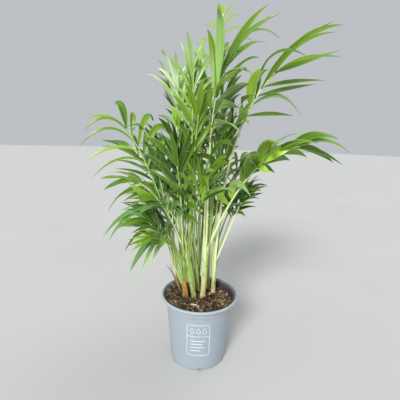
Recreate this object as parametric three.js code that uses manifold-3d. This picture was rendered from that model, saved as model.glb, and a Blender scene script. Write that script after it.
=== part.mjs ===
// Parlour palm in its nursery pot. Millimetres, +Z up, origin at the centre of the pot's underside.
import * as THREE from 'three';
import { mergeVertices } from 'three/addons/utils/BufferGeometryUtils.js';
import Module from 'manifold-3d';

const wasm = await Module();
wasm.setup();

// ---------------------------------------------------------------- driving sizes

const pot = {
  height: 57.6,
  footRadius: 23.6,      // flat underside and the corner above it
  cornerHeight: 1.6,
  neckRadius: 28.0,      // where the collar under the lip begins
  neckHeight: 49.5,
  collarRadius: 28.9,
  lipRadius: 32.5,
  lipInner: 30.9,        // inside edge of the lip's top
  lipHeight: 2.4,
  wall: 0.7,
  floor: 1.4,
  round: 0.6,            // bevel of the lip's edges, and of the steps under it
  sides: 36,
};
const notches = { count: 6, radius: 2.6, depth: 4, turn: 35, sides: 8 };
const soil = { top: 51.8, dome: 1.6, gap: 0.3, sides: 32 };
const seatGap = 0.3;     // between a foot or tip and what carries it

// Shoots: foot on the soil, tip of the sheath, and the radius at each.
const shoots = {
  farLeft: { foot: [-15, 14], tip: [-21.8, 14, 72.6], low: 1.6, high: 1.9 },
  left: { foot: [-12, 3], tip: [-14.9, 2, 78.2], low: 1.6, high: 1.9 },
  middleLeft: { foot: [-4, 0], tip: [-10.7, 0, 88.2], low: 2.2, high: 1.9 },
  middle: { foot: [-1.5, 11], tip: [-4.9, 12, 79.7], low: 1.9, high: 2.0 },
  main: { foot: [2.5, 3], tip: [3.8, 3, 94.6], low: 2.6, high: 2.1 },
  right: { foot: [12, 11], tip: [11.8, 10, 81.1], low: 2.0, high: 1.9 },
  rightBack: { foot: [8, 16.5], tip: [6.5, 16, 85.8], low: 1.7, high: 2.0 },
  back: { foot: [-2, 21], tip: [-1, 22.5, 82], low: 2.0, high: 2.3 },
  leftBack: { foot: [-10, 20], tip: [-12.5, 23, 76], low: 1.7, high: 1.9 },
};
const shootSides = 8;
const drySides = 5;
const shootSteps = 4;

// Dead pieces at the foot of the clump: foot and tip, radius at each.
const dryPieces = {
  sheath_dry: { foot: [-10.6, -1.6], tip: [-13.6, -2.9, 69], low: 1.5, high: 0.7 },
  twig_dry: { foot: [-15.4, 8.4], tip: [-27.6, 8, 77.4], low: 0.8, high: 0.5 },
  sheath_olive: { foot: [-5.4, 6.4], tip: [-8.6, 6.4, 90.5], low: 1.2, high: 0.7 },
};

// A frond is one rib from its shoot's tip: heading from +X, reach and rise of the rib's end,
// lean from upright at its foot, climb above level at its end. Leaflets sit past its bare share:
// pairs, length and width, angle to the rib at the first and last pair, lift out of the blade's
// plane, roll of that plane about the rib, droop and fore for how each leaflet hangs, sky for how
// far its upper face turns to the light, and light for how far that leans from upright to the front.
const frondHabit = {
  bare: 0.68,
  pairs: 5,
  leaf: 44,
  wide: 5.4,
  spread: 50,
  tight: 14,
  lift: 18,
  roll: 0,
  droop: 0.28,
  fore: 0.12,
  sky: 0.6,
  light: 26,
  pull: 1,
  bow: 0.9,
  tint: 'leaf',
};

const shownFronds = [
  { name: 'frond_left_fan', shoot: 'left', heading: 186, reach: 44, rise: 192, lean: 16, climb: 55,
    bare: 0.72, leaf: 44, spread: 66, tight: 17, lift: 9, droop: 0.39, roll: 104, fore: 0.02, light: 34 },
  { name: 'frond_right_high', shoot: 'right', heading: -6, reach: 39, rise: 237, lean: 2, climb: 48,
    bare: 0.73, pairs: 6, leaf: 71, wide: 5.8, spread: 66, tight: 17, lift: 11, droop: 0.42, roll: 160,
    fore: 0.23, sky: 0.85, light: 42 },
  { name: 'frond_right_broad', shoot: 'main', heading: -9, reach: 67, rise: 183, lean: 20, climb: 3,
    bare: 0.54, pairs: 6, leaf: 41, wide: 7, spread: 42, tight: 21, lift: -8, droop: 0.41, roll: 160,
    sky: 0.85, light: 58 },
  { name: 'frond_centre_tall', shoot: 'main', heading: 23, reach: 11, rise: 239, lean: 2, climb: 49,
    bow: 0.6, bare: 0.69, pairs: 6, leaf: 74, wide: 6.2, spread: 62, tight: 21, lift: -8, droop: 0.36,
    roll: 180, sky: 0.85, light: 55, tint: 'young' },
  { name: 'frond_centre_front', shoot: 'main', heading: -81, reach: 24, rise: 221, lean: 10, climb: 45,
    bow: 1.1, bare: 0.55, pairs: 6, leaf: 70, wide: 6.2, spread: 66, tight: 32, lift: 2, droop: 0.2,
    roll: 100, fore: -0.03, sky: 0.9, light: 75, tint: 'young' },
  { name: 'frond_top_new', shoot: 'rightBack', heading: 52, reach: 6, rise: 282, lean: 0, climb: 69,
    bow: 0.6, bare: 0.77, leaf: 25, wide: 4, spread: 62, tight: 5, lift: -8, droop: 0.32, roll: 16,
    fore: 0.03, tint: 'young' },
  { name: 'frond_left_upright', shoot: 'left', heading: 168, reach: 8, rise: 220, lean: 10, climb: 90,
    bow: 0.6, bare: 0.88, pairs: 4, leaf: 50, wide: 5.6, spread: 40, tight: 4, lift: 18, roll: -60,
    fore: -0.05, sky: 0.8, light: 65 },
  { name: 'frond_left_low', shoot: 'middleLeft', heading: 213, reach: 49, rise: 155, lean: 19,
    climb: -5, bow: 0.75, bare: 0.55, pairs: 6, leaf: 24, wide: 5, spread: 64, tight: 4, lift: 34,
    droop: 0.14, roll: 144, fore: 0.06 },
  { name: 'frond_left_droop', shoot: 'farLeft', heading: 167, reach: 22, rise: 126, lean: 8, climb: -12,
    bow: 0.6, bare: 0.54, pairs: 4, leaf: 61, spread: 66, tight: 4, lift: -2, droop: 0.54, roll: -133,
    fore: 0, sky: 0.8, light: 45 },
  { name: 'frond_left_lowest', shoot: 'farLeft', heading: 202, reach: 16, rise: 104, lean: 20,
    climb: -6, bow: 1, bare: 0.64, pairs: 4, leaf: 41, wide: 4.8, spread: 66, tight: 21, lift: -8,
    droop: 0.54, roll: 143, fore: -0.05 },
  { name: 'frond_right_low', shoot: 'right', heading: 8, reach: 25, rise: 140, lean: 20, climb: 47,
    bow: 0.6, bare: 0.61, leaf: 23, wide: 4.8, spread: 64, tight: 13, lift: 33, droop: 0.37, roll: 25,
    fore: 0.21 },
  { name: 'frond_centre_upright', shoot: 'middle', heading: 61, reach: 6, rise: 247, lean: 14,
    climb: 78, bow: 1, bare: 0.72, pairs: 6, leaf: 39, wide: 4.8, spread: 64, tight: 24, lift: 19,
    droop: 0.48, roll: -140, fore: 0.17 },
  { name: 'frond_centre_left', shoot: 'middle', heading: 221, reach: 18, rise: 166, lean: 10, climb: 86,
    bow: 0.8, bare: 0.83, leaf: 66, spread: 55, tight: 21, lift: 14, droop: 0.5, roll: -67,
    fore: 0.33 },
  { name: 'frond_front_right', shoot: 'main', heading: -98, reach: 10, rise: 154, lean: 16, climb: 10,
    bow: 0.8, bare: 0.8, leaf: 46, spread: 36, tight: 11, lift: 28, droop: 0.25, roll: -17, sky: 0.8,
    light: 60 },
  { name: 'frond_front_left', shoot: 'middleLeft', heading: 190, reach: 8, rise: 133, lean: 7,
    climb: 86, bare: 0.67, leaf: 46, wide: 6, spread: 66, tight: 10, lift: -6, droop: 0.56,
    roll: -155, fore: 0.19 },
];

// The rest of the plant, in tiers of fronds spread evenly over a sweep of headings.
const tiers = [
  { name: 'frond_back_high', count: 4, from: 30, to: 165, reach: [16, 34], rise: [190, 226],
    climb: 62, leaf: [34, 44], shoots: ['back', 'back', 'leftBack', 'middle'] },
  { name: 'frond_back_mid', count: 5, from: 15, to: 165, reach: [34, 54], rise: [146, 180],
    climb: 34, leaf: [34, 44], shoots: ['right', 'rightBack', 'back', 'leftBack', 'farLeft'] },
  { name: 'frond_back_low', count: 4, from: 25, to: 160, reach: [28, 44], rise: [112, 138],
    climb: 12, leaf: [34, 44], shoots: ['right', 'rightBack', 'back', 'leftBack'] },
  { name: 'frond_front_mid', count: 4, from: -35, to: -150, reach: [10, 24], rise: [148, 204],
    climb: 66, leaf: [34, 44], shoots: ['right', 'middleLeft', 'left', 'farLeft'] },
];
const tierLean = 5;
const tierSeed = 129548;

// Smaller fronds that fill the clump low on its left and in its middle.
const smallTiers = [
  { name: 'frond_small_left', count: 4, from: 160, to: 250, reach: [16, 34], rise: [106, 146],
    climb: 4, leaf: [24, 32], wide: 4.2, shoots: ['left', 'leftBack', 'middleLeft', 'farLeft'] },
  { name: 'frond_small_middle', count: 3, from: -160, to: -20, reach: [4, 13], rise: [178, 232],
    climb: 76, leaf: [36, 46], wide: 4.6, shoots: ['middle', 'middleLeft', 'rightBack'] },
];
const smallSeed = 17697;

const rib = { foot: 0.85, end: 0.6, sides: 4, steps: 8, apart: 1.85, clear: 1.75 };
const blade = {
  stations: [0, 0.3, 0.68],
  free: [0.16, 0.3, 0.68],  // from here on a leaflet keeps clear of its own frond
  root: 0.34,               // half width and keel where it leaves the rib
  rootKeel: 0.22,
  fold: 0.16,               // rise of its edges for each mm of half width
  keel: 0.5,
  lowest: 64,               // no tip hangs below this height
  spare: 0.3,               // room kept round it
  peak: 0.72,               // shape of its outline
  full: 0.85,
};
// Along a frond: the far side's lag, how fast the angle closes, the leaflets' share of their full
// length at the low end and their swell towards the middle, and the end pair's extra width.
const growth = { lag: 0.35, closing: 1.3, short: 0.72, swell: 0.34, from: 0.18, over: 0.72, endWide: 1.2 };
const ribSwings = [0, 5, -5, 10, -10, 15, -15];
const ribLeans = [0, 5, -5, 10];
const leafTries = [
  [0, 0], [8, 0], [-8, 0], [0, 10], [0, -10], [16, 0], [-16, 0],
  [10, 14], [-10, -14], [0, 24], [0, -24], [24, 10], [-24, 10],
];

const colours = {
  pot: 0x8f9da8,
  soil: 0x3a281c,
  shoot: 0xb9d07e,
  dry: 0x9a6a3c,
  olive: 0x77703c,
  leaf: 0x5c8f2c,
  young: 0x86bb36,
};

// ---------------------------------------------------------------- small helpers

const radians = THREE.MathUtils.degToRad;
const skyward = new THREE.Vector3(0, 0, 1);

function dice(seed) {
  let state = seed;
  return (low, high) => {
    state = (state * 48271) % 2147483647;
    return low + (high - low) * state / 2147483647;
  };
}

function pointing(heading, lean) {
  const side = Math.sin(radians(lean));
  return new THREE.Vector3(
    Math.cos(radians(heading)) * side,
    Math.sin(radians(heading)) * side,
    Math.cos(radians(lean)),
  );
}

function mix(...pairs) {
  const sum = new THREE.Vector3();
  pairs.forEach(([vector, share]) => sum.addScaledVector(vector, share));
  return sum;
}

function toSolid(geometry) {
  const plain = geometry.index ? geometry.clone() : geometry;
  plain.deleteAttribute('normal');
  plain.deleteAttribute('uv');
  const merged = mergeVertices(plain, 1e-4);
  return new wasm.Manifold(new wasm.Mesh({
    numProp: 3,
    vertProperties: new Float32Array(merged.attributes.position.array),
    triVerts: new Uint32Array(merged.index.array),
  }));
}

function toGeometry(solid) {
  const mesh = solid.getMesh();
  const geometry = new THREE.BufferGeometry();
  geometry.setAttribute('position', new THREE.BufferAttribute(new Float32Array(mesh.vertProperties), 3));
  geometry.setIndex(new THREE.BufferAttribute(new Uint32Array(mesh.triVerts), 1));
  geometry.computeVertexNormals();
  return geometry;
}

// A closed skin over rings of equal size, with flat ends, or a point in place of the last ring.
function loft(rings, point = null) {
  const size = rings[0].length;
  const corners = rings.flat();
  const faces = [];
  for (let k = 0; k < rings.length - 1; k++) {
    for (let i = 0; i < size; i++) {
      const a = k * size + i;
      const b = k * size + (i + 1) % size;
      faces.push(a, b, b + size, a, b + size, a + size);
    }
  }
  for (let i = 1; i < size - 1; i++) faces.push(0, i + 1, i);
  const last = (rings.length - 1) * size;
  if (point) {
    corners.push(point);
    for (let i = 0; i < size; i++) faces.push(last + i, last + (i + 1) % size, corners.length - 1);
  } else {
    for (let i = 1; i < size - 1; i++) faces.push(last, last + i, last + i + 1);
  }
  const geometry = new THREE.BufferGeometry().setFromPoints(corners);
  geometry.setIndex(faces);
  return geometry;
}

function ringAt(centre, across, upward, radius, sides) {
  const ring = [];
  for (let i = 0; i < sides; i++) {
    const angle = (i + 0.5) / sides * Math.PI * 2;
    ring.push(centre.clone()
      .addScaledVector(across, Math.cos(angle) * radius)
      .addScaledVector(upward, Math.sin(angle) * radius));
  }
  return ring;
}

// ---------------------------------------------------------------- pot and soil

const innerRadius = (z) => {
  const share = (z - pot.cornerHeight) / (pot.neckHeight - pot.cornerHeight);
  return pot.footRadius + (pot.neckRadius - pot.footRadius) * share - pot.wall;
};

const lathe = (profile, sides) => {
  const points = profile.map(([radius, z]) => new THREE.Vector2(radius, z));
  return new THREE.LatheGeometry(points, sides).rotateX(Math.PI / 2);
};

function potSolid() {
  const lipLow = pot.height - pot.lipHeight;
  const body = toSolid(lathe([
    [0, 0],
    [pot.footRadius - pot.cornerHeight, 0],
    [pot.footRadius, pot.cornerHeight],
    [pot.neckRadius, pot.neckHeight],
    [pot.collarRadius, pot.neckHeight + pot.round],
    [pot.collarRadius + pot.round / 2, lipLow],
    [pot.lipRadius - pot.round, lipLow],
    [pot.lipRadius, lipLow + pot.round],
    [pot.lipRadius, pot.height - pot.round],
    [pot.lipRadius - pot.round, pot.height],
    [pot.lipInner, pot.height],
    [pot.collarRadius - pot.wall, lipLow],
    [innerRadius(pot.neckHeight), pot.neckHeight - pot.round],
    [innerRadius(pot.floor), pot.floor],
    [0, pot.floor],
  ], pot.sides));
  const { radius, depth, sides } = notches;
  const drill = new THREE.CylinderGeometry(radius, radius, depth * 2, sides);
  drill.rotateZ(Math.PI / 2);
  let cut = body;
  for (let k = 0; k < notches.count; k++) {
    const angle = radians(notches.turn + 360 / notches.count * k);
    const bite = drill.clone().translate(pot.footRadius + 1, 0, 0).rotateZ(angle);
    cut = cut.subtract(toSolid(bite));
  }
  return cut;
}

const soilHeight = (x, y) => {
  const edge = innerRadius(soil.top) - soil.gap;
  return soil.top - soil.dome * (x * x + y * y) / (edge * edge);
};

function soilSolid() {
  const low = pot.floor + soil.gap;
  const edge = innerRadius(soil.top - soil.dome) - soil.gap;
  const profile = [[0, low], [innerRadius(low) - soil.gap, low], [edge, soilHeight(edge, 0)]];
  [0.75, 0.5, 0.25, 0].forEach((share) => profile.push([edge * share, soilHeight(edge * share, 0)]));
  return toSolid(lathe(profile, soil.sides));
}

// ---------------------------------------------------------------- shoots

function shootSolid({ foot, tip, low, high }, sides) {
  const start = new THREE.Vector3(foot[0], foot[1], soilHeight(foot[0], foot[1]) + seatGap);
  const end = new THREE.Vector3(...tip);
  const lean = end.clone().sub(start).normalize();
  const rings = [];
  for (let k = 0; k <= shootSteps; k++) {
    const share = k / shootSteps;
    const centre = start.clone().lerp(end, share);
    const tilt = k === 0 ? skyward : lean;
    const across = new THREE.Vector3(1, 0, 0).addScaledVector(tilt, -tilt.x).normalize();
    const upward = tilt.clone().cross(across);
    rings.push(ringAt(centre, across, upward, low + (high - low) * share, sides));
  }
  return toSolid(loft(rings));
}

// Places on a shoot's tip where its fronds start, each on the side that its frond heads for.
function slotsOf(shootName, rows) {
  const shoot = shoots[shootName];
  const own = rows.filter((row) => row.shoot === shootName);
  const pull = own.reduce((sum, row) => sum.add(pointing(row.heading, 90)), new THREE.Vector3());
  const middle = THREE.MathUtils.radToDeg(Math.atan2(pull.y, pull.x));
  const offset = (row) => THREE.MathUtils.euclideanModulo(row.heading - middle + 180, 360);
  const end = new THREE.Vector3(...shoot.tip);
  const lean = end.clone().sub(new THREE.Vector3(shoot.foot[0], shoot.foot[1], soil.top)).normalize();
  const across = new THREE.Vector3(1, 0, 0).addScaledVector(lean, -lean.x).normalize();
  const upward = lean.clone().cross(across);
  const radius = own.length > 1 ? rib.apart / 2 / Math.sin(Math.PI / own.length) : 0;
  own.sort((a, b) => offset(a) - offset(b)).forEach((row, k) => {
    const angle = radians(middle + 360 / own.length * (k - (own.length - 1) / 2));
    row.foot = end.clone()
      .addScaledVector(lean, seatGap + 0.1)
      .addScaledVector(across, Math.cos(angle) * radius)
      .addScaledVector(upward, Math.sin(angle) * radius);
  });
}

// ---------------------------------------------------------------- fronds

function tierFronds(list, seed) {
  const draw = dice(seed);
  return list.flatMap((tier) => Array.from({ length: tier.count }, (_, k) => ({
    name: `${tier.name}_${k + 1}`,
    shoot: tier.shoots[k],
    heading: tier.from + (tier.to - tier.from) * (k + 0.5) / tier.count + draw(-5, 5),
    reach: draw(...tier.reach),
    rise: draw(...tier.rise),
    lean: tierLean + draw(-3, 3),
    climb: tier.climb + draw(-8, 8),
    leaf: draw(...tier.leaf),
    roll: draw(-35, 35),
    wide: tier.wide ?? frondHabit.wide,
  })));
}

function ribCurve(row, swing, lean) {
  const heading = row.heading + swing;
  const tip = new THREE.Vector3(
    row.foot.x + row.reach * Math.cos(radians(heading)),
    row.foot.y + row.reach * Math.sin(radians(heading)),
    row.rise,
  );
  const chord = tip.distanceTo(row.foot);
  const leave = pointing(heading, row.lean + lean).multiplyScalar(chord * row.pull / 3);
  const arrive = pointing(heading, 90 - row.climb).multiplyScalar(chord * row.bow / 3);
  return new THREE.CubicBezierCurve3(row.foot, row.foot.clone().add(leave), tip.clone().sub(arrive), tip);
}

// Along, across and face: the directions of the blade at share t of its rib.
function bladeFrame(row, t) {
  const along = row.curve.getTangent(t);
  const level = new THREE.Vector3(-Math.sin(radians(row.turned)), Math.cos(radians(row.turned)), 0);
  const across = level.addScaledVector(along, -level.dot(along)).normalize();
  const face = along.clone().cross(across);
  const roll = radians(row.roll);
  return {
    along,
    across: mix([across, Math.cos(roll)], [face, Math.sin(roll)]),
    face: mix([face, Math.cos(roll)], [across, -Math.sin(roll)]),
  };
}

function nearest(a, b, c, d) {  // least distance between segments ab and cd
  const u = b.clone().sub(a);
  const v = d.clone().sub(c);
  const w = a.clone().sub(c);
  const uu = u.dot(u);
  const uv = u.dot(v);
  const vv = v.dot(v);
  const uw = u.dot(w);
  const vw = v.dot(w);
  const clamp = THREE.MathUtils.clamp;
  const flat = uu * vv - uv * uv;
  const s = clamp(flat > 1e-9 ? (uv * vw - vv * uw) / flat : 0, 0, 1);
  const t = clamp((uv * s + vw) / vv, 0, 1);
  const r = clamp((uv * t - uw) / uu, 0, 1);
  return a.clone().addScaledVector(u, r).distanceTo(c.clone().addScaledVector(v, t));
}

function clearance(line, others) {
  let least = Infinity;
  others.forEach((other) => {
    for (let i = 0; i < line.length - 1; i++) {
      for (let k = 0; k < other.length - 1; k++) {
        least = Math.min(least, nearest(line[i], line[i + 1], other[k], other[k + 1]));
      }
    }
  });
  return least;
}

// Each rib keeps its heading and lean, or takes the first change that clears the ribs before it.
function layRibs(rows) {
  const laid = [];
  const tries = ribLeans.flatMap((lean) => ribSwings.map((swing) => [swing, lean]));
  rows.forEach((row) => {
    let best = -1;
    tries.some(([swing, lean]) => {
      const curve = ribCurve(row, swing, lean);
      const line = curve.getPoints(rib.steps);
      const room = clearance(line, laid);
      if (room > best) {
        best = room;
        row.curve = curve;
        row.line = line;
        row.turned = row.heading + swing;
      }
      return room > rib.clear;
    });
    laid.push(row.line);
  });
}

function ribSolid(row) {
  const flat = { ...row, roll: 0 };
  const rings = row.line.map((centre, k) => {
    const share = k / rib.steps;
    const { across, face } = bladeFrame(flat, share);
    return ringAt(centre, across, face, rib.foot + (rib.end - rib.foot) * share, rib.sides);
  });
  return toSolid(loft(rings));
}

function leafletsOf(row, seed) {
  const draw = dice(seed);
  const leaflets = [];
  for (let k = 0; k < row.pairs; k++) {
    [1, -1].forEach((side) => {
      const last = k === row.pairs - 1;
      const u = last ? 1 : (k + (side > 0 ? 0 : growth.lag)) / (row.pairs - 1);
      const share = row.bare + (1 - row.bare) * u;
      const swell = growth.swell * Math.sin(Math.PI * (growth.from + growth.over * u));
      leaflets.push({
        side,
        root: row.curve.getPoint(share),
        frame: bladeFrame(row, share),
        spread: row.spread + (row.tight - row.spread) * u ** growth.closing + draw(-5, 5),
        lift: row.lift + draw(-6, 6),
        length: row.leaf * (growth.short + swell) * draw(0.93, 1.05),
        width: row.wide * (last ? growth.endWide : 1) * draw(0.9, 1.08),
        droop: row.droop * draw(0.75, 1.25),
      });
    });
  }
  return leaflets;
}

// Where the middle of a leaflet runs, and its half width, at share s of its length.
function leafletRun(row, leaflet, [swing, raise]) {
  const { along, across, face } = leaflet.frame;
  const open = radians(leaflet.spread + swing);
  const lift = radians(leaflet.lift + raise);
  const aim = mix(
    [along, Math.cos(open)],
    [across, leaflet.side * Math.sin(open) * Math.cos(lift)],
    [face, Math.sin(open) * Math.sin(lift)],
  ).normalize();
  const shorten = 1 / (1 + 0.35 * leaflet.droop ** 2);
  return (s) => mix(
    [leaflet.root, 1],
    [aim, leaflet.length * s * shorten],
    [along, leaflet.length * row.fore * s * s],
    [skyward, -leaflet.length * leaflet.droop * s * s],
  );
}

const leafletHalf = (leaflet, s) => leaflet.width / 2 * Math.sin(Math.PI * s ** blade.peak) ** blade.full;

function leafletSolid(row, leaflet, run, spare, stations = blade.stations) {
  const light = pointing(-90, row.light);
  const upper = leaflet.frame.face.dot(light) < 0 ? -1 : 1;
  const facing = mix([leaflet.frame.face, upper * (1 - row.sky)], [light, row.sky]);
  const rings = stations.map((s) => {
    const along = run(s + 0.05).sub(run(Math.max(s - 0.05, 0))).normalize();
    const across = along.clone().cross(facing).normalize();
    const upward = across.clone().cross(along);
    const half = Math.max(leafletHalf(leaflet, s), blade.root) + spare;
    const keel = (s > 0 ? blade.keel : blade.rootKeel) + spare;
    return [
      mix([run(s), 1], [across, half], [upward, half * blade.fold + spare]),
      mix([run(s), 1], [upward, -keel]),
      mix([run(s), 1], [across, -half], [upward, half * blade.fold + spare]),
    ];
  });
  return toSolid(loft(rings, run(1)));
}

const boxesMeet = (a, b) => [0, 1, 2].every((i) => a.min[i] < b.max[i] && b.min[i] < a.max[i]);

function meets(solid, others) {
  const box = solid.boundingBox();
  return others.some((other) => boxesMeet(box, other.box) && !solid.intersect(other.solid).isEmpty());
}

// A leaflet takes the first of its tries that touches no other frond or shoot and crosses no
// leaflet of its own frond, or is left out.
function growLeaflets(rows, obstacles) {
  rows.forEach((row, k) => {
    const own = [];
    row.leaves = [];
    leafletsOf(row, 1009 + 7919 * k).forEach((leaflet) => {
      leafTries.some((attempt) => {
        const run = leafletRun(row, leaflet, attempt);
        if (Math.min(run(0.6).z, run(1).z) < blade.lowest) return false;
        const others = obstacles.filter((other) => other.owner !== row.name);
        if (meets(leafletSolid(row, leaflet, run, blade.spare), others)) return false;
        const free = leafletSolid(row, leaflet, run, 0, blade.free);
        if (meets(free, own)) return false;
        own.push({ solid: free, box: free.boundingBox() });
        row.leaves.push(leafletSolid(row, leaflet, run, 0));
        return true;
      });
    });
    row.leaves.forEach((solid) => obstacles.push({ owner: row.name, solid, box: solid.boundingBox() }));
  });
}

// ---------------------------------------------------------------- the group

const group = new THREE.Group();

function addMesh(name, solid, colour, roughness) {
  const material = new THREE.MeshStandardMaterial({ color: colour, roughness, metalness: 0 });
  const mesh = new THREE.Mesh(toGeometry(solid), material);
  mesh.name = name;
  group.add(mesh);
}

addMesh('pot', potSolid(), colours.pot, 0.5);
addMesh('soil', soilSolid(), colours.soil, 0.95);

const obstacles = [];
const stand = (name, solid) => obstacles.push({ owner: name, solid, box: solid.boundingBox() });

Object.entries(shoots).forEach(([key, shoot]) => {
  const name = `shoot_${key.replace(/[A-Z]/g, (letter) => `_${letter.toLowerCase()}`)}`;
  const solid = shootSolid(shoot, shootSides);
  addMesh(name, solid, colours.shoot, 0.5);
  stand(name, solid);
});

Object.entries(dryPieces).forEach(([name, piece]) => {
  const solid = shootSolid(piece, drySides);
  addMesh(name, solid, name === 'sheath_olive' ? colours.olive : colours.dry, 0.8);
  stand(name, solid);
});

const rows = [shownFronds, tierFronds(tiers, tierSeed), tierFronds(smallTiers, smallSeed)].flat()
  .map((row) => ({ ...frondHabit, ...row }));
Object.keys(shoots).forEach((key) => slotsOf(key, rows));
layRibs(rows);
rows.forEach((row) => {
  row.rib = ribSolid(row);
  stand(row.name, row.rib);
});
growLeaflets(rows, obstacles);
rows.forEach((row) => {
  const solid = row.leaves.reduce((whole, leaf) => whole.add(leaf), row.rib);
  addMesh(row.name, solid, colours[row.tint], 0.45);
});

export default group;
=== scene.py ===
# Parlour palm in its nursery pot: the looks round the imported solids. Metres, +Z up.
from math import atan2, copysign, cos, degrees, dist, exp, hypot, pi, radians, sin, sqrt, tau

import bmesh
import bpy
from mathutils import Matrix, Vector, noise
from mathutils.kdtree import KDTree


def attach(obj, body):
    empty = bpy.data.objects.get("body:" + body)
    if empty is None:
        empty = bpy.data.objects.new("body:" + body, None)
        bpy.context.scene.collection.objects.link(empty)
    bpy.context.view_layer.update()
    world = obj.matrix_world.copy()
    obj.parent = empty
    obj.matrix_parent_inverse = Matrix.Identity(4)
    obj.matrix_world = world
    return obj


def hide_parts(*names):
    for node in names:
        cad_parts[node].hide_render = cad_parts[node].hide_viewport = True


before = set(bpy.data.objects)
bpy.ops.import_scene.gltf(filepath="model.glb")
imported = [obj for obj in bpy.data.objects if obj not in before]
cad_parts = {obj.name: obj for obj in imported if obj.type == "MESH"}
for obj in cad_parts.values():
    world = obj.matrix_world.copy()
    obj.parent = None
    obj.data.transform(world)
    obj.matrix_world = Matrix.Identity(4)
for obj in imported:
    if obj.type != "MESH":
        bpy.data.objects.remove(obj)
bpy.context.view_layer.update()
mm = 0.001                      # everything below is worked out in millimetres, as the solids are
touching = 1e-6                 # metres: corners nearer than this are one
skyward = Vector((0, 0, 1))
print("frame loaded:", len(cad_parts), "nodes")

view = {"place": (-2.1, -237.5, 185.9), "pitch": 78.64, "roll": 1.72, "lens": 27, "sensor": 36, "near": 10}
floorLook = {"radius": 6000, "segments": 96, "colour": "#c4c4c1"}
lights = [                      # soft suns: where they stand, how wide they look in degrees, how strong
    {"name": "keyLight", "place": (-340, -900, 620), "wide": 18, "power": 3.1},
    {"name": "backLight", "place": (400, 500, 1100), "wide": 40, "power": 0.55},
]
world = {"colour": "#e3e7ec", "strength": 0.66}


def dice(seed):                 # the same dealer of numbers as the solids use
    state = seed

    def draw(low, high):
        nonlocal state
        state = state * 48271 % 2147483647
        return low + (high - low) * state / 2147483647

    return draw


def lerp(low, high, share):
    return low + (high - low) * share


def smooth(share):
    share = min(max(share, 0), 1)
    return share * share * (3 - 2 * share)


def pointing(heading, lean):    # a direction, by its heading from +X and its lean from upright in degrees
    side = sin(radians(lean))
    return Vector((cos(radians(heading)) * side, sin(radians(heading)) * side, cos(radians(lean))))


def square(direction, wanted):  # wanted, made square to direction
    return (wanted - direction * wanted.dot(direction)).normalized()


def axesRound(along):           # two directions, square to this one and to each other
    across = square(along, Vector((1, 0, 0)))
    return across, along.cross(across)


def spoke(across, upward, angle, reach=1):
    return across * (cos(angle) * reach) + upward * (sin(angle) * reach)


# Shader nodes, written as sums.

def paint(code, strength=1):    # an sRGB code as a linear colour
    parts = [int(code[k:k + 2], 16) / 255 for k in (1, 3, 5)]
    linear = [p / 12.92 if p <= 0.04045 else ((p + 0.055) / 1.055) ** 2.4 for p in parts]
    return tuple(strength * p for p in linear) + (1,)


class Wire:                     # one output socket
    def __init__(self, shader, socket):
        self.shader = shader
        self.socket = socket

    def __add__(self, other):
        return self.shader.maths("ADD", self, other)

    __radd__ = __add__

    def __mul__(self, other):
        return self.shader.maths("MULTIPLY", self, other)

    __rmul__ = __mul__

    def __sub__(self, other):
        return self.shader.maths("SUBTRACT", self, other)

    def __rsub__(self, other):
        return self.shader.maths("SUBTRACT", other, self)


class Shader:                   # one material and what its nodes are made with
    def __init__(self, name):
        self.material = bpy.data.materials.new(name)
        self.material.use_nodes = True
        self.tree = self.material.node_tree
        self.tree.nodes.clear()
        self.place = self.node("ShaderNodeTexCoord", output="Object")

    def node(self, kind, settings=None, values=None, output=0):
        made = self.tree.nodes.new(kind)
        for key, value in (settings or {}).items():
            if key == "stops":
                self.setStops(made.color_ramp, value)
            else:
                setattr(made, key, value)
        for key, value in (values or {}).items():
            if isinstance(value, Wire):
                self.tree.links.new(value.socket, made.inputs[key])
            else:
                made.inputs[key].default_value = value
        return Wire(self, made.outputs[output] if made.outputs else None)

    def setStops(self, ramp, stops):
        while len(ramp.elements) < len(stops):
            ramp.elements.new(0.5)
        for element, (position, colour) in zip(ramp.elements, stops):
            element.position = position
            element.color = colour

    def maths(self, operation, first, second):
        return self.node("ShaderNodeMath", {"operation": operation}, {0: first, 1: second})

    def stretched(self, place, stretch):
        return self.node("ShaderNodeMapping", {}, {"Vector": place, "Scale": stretch}, "Vector")

    def grain(self, scale, detail=3, stretch=(1, 1, 1), rough=0.5, place=None):
        place = self.stretched(place or self.place, stretch)
        values = {"Vector": place, "Scale": scale, "Detail": detail, "Roughness": rough}
        return self.node("ShaderNodeTexNoise", {}, values, "Fac")

    def specks(self, scale, stretch):
        values = {"Vector": self.stretched(self.place, stretch), "Scale": scale}
        return self.node("ShaderNodeTexVoronoi", {}, values, "Distance")

    def span(self, wire, low, high, start=0, end=1):
        values = {"Value": wire, "From Min": low, "From Max": high, "To Min": start, "To Max": end}
        return self.node("ShaderNodeMapRange", {"clamp": True}, values, "Result")

    def rise(self, low, high, start=0, end=1):      # how far up the point is between two heights
        height = self.node("ShaderNodeSeparateXYZ", {}, {0: self.place}, "Z")
        return self.span(height, low * mm, high * mm, start, end)

    def ramp(self, wire, stops):
        return self.node("ShaderNodeValToRGB", {"stops": stops}, {"Fac": wire}, "Color")

    def blend(self, share, first, second):
        return self.node("ShaderNodeMix", {"data_type": "RGBA"}, {0: share, 6: first, 7: second}, 2)

    def bump(self, wire, strength, distance):
        values = {"Height": wire, "Strength": strength, "Distance": distance * mm}
        return self.node("ShaderNodeBump", {}, values, "Normal")

    def finish(self, values):
        body = self.node("ShaderNodeBsdfPrincipled", {}, values, "BSDF")
        self.node("ShaderNodeOutputMaterial", {}, {"Surface": body})
        return self.material


# Meshes: every piece starts as a grid or a primitive, and is then shaped and joined.

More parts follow.
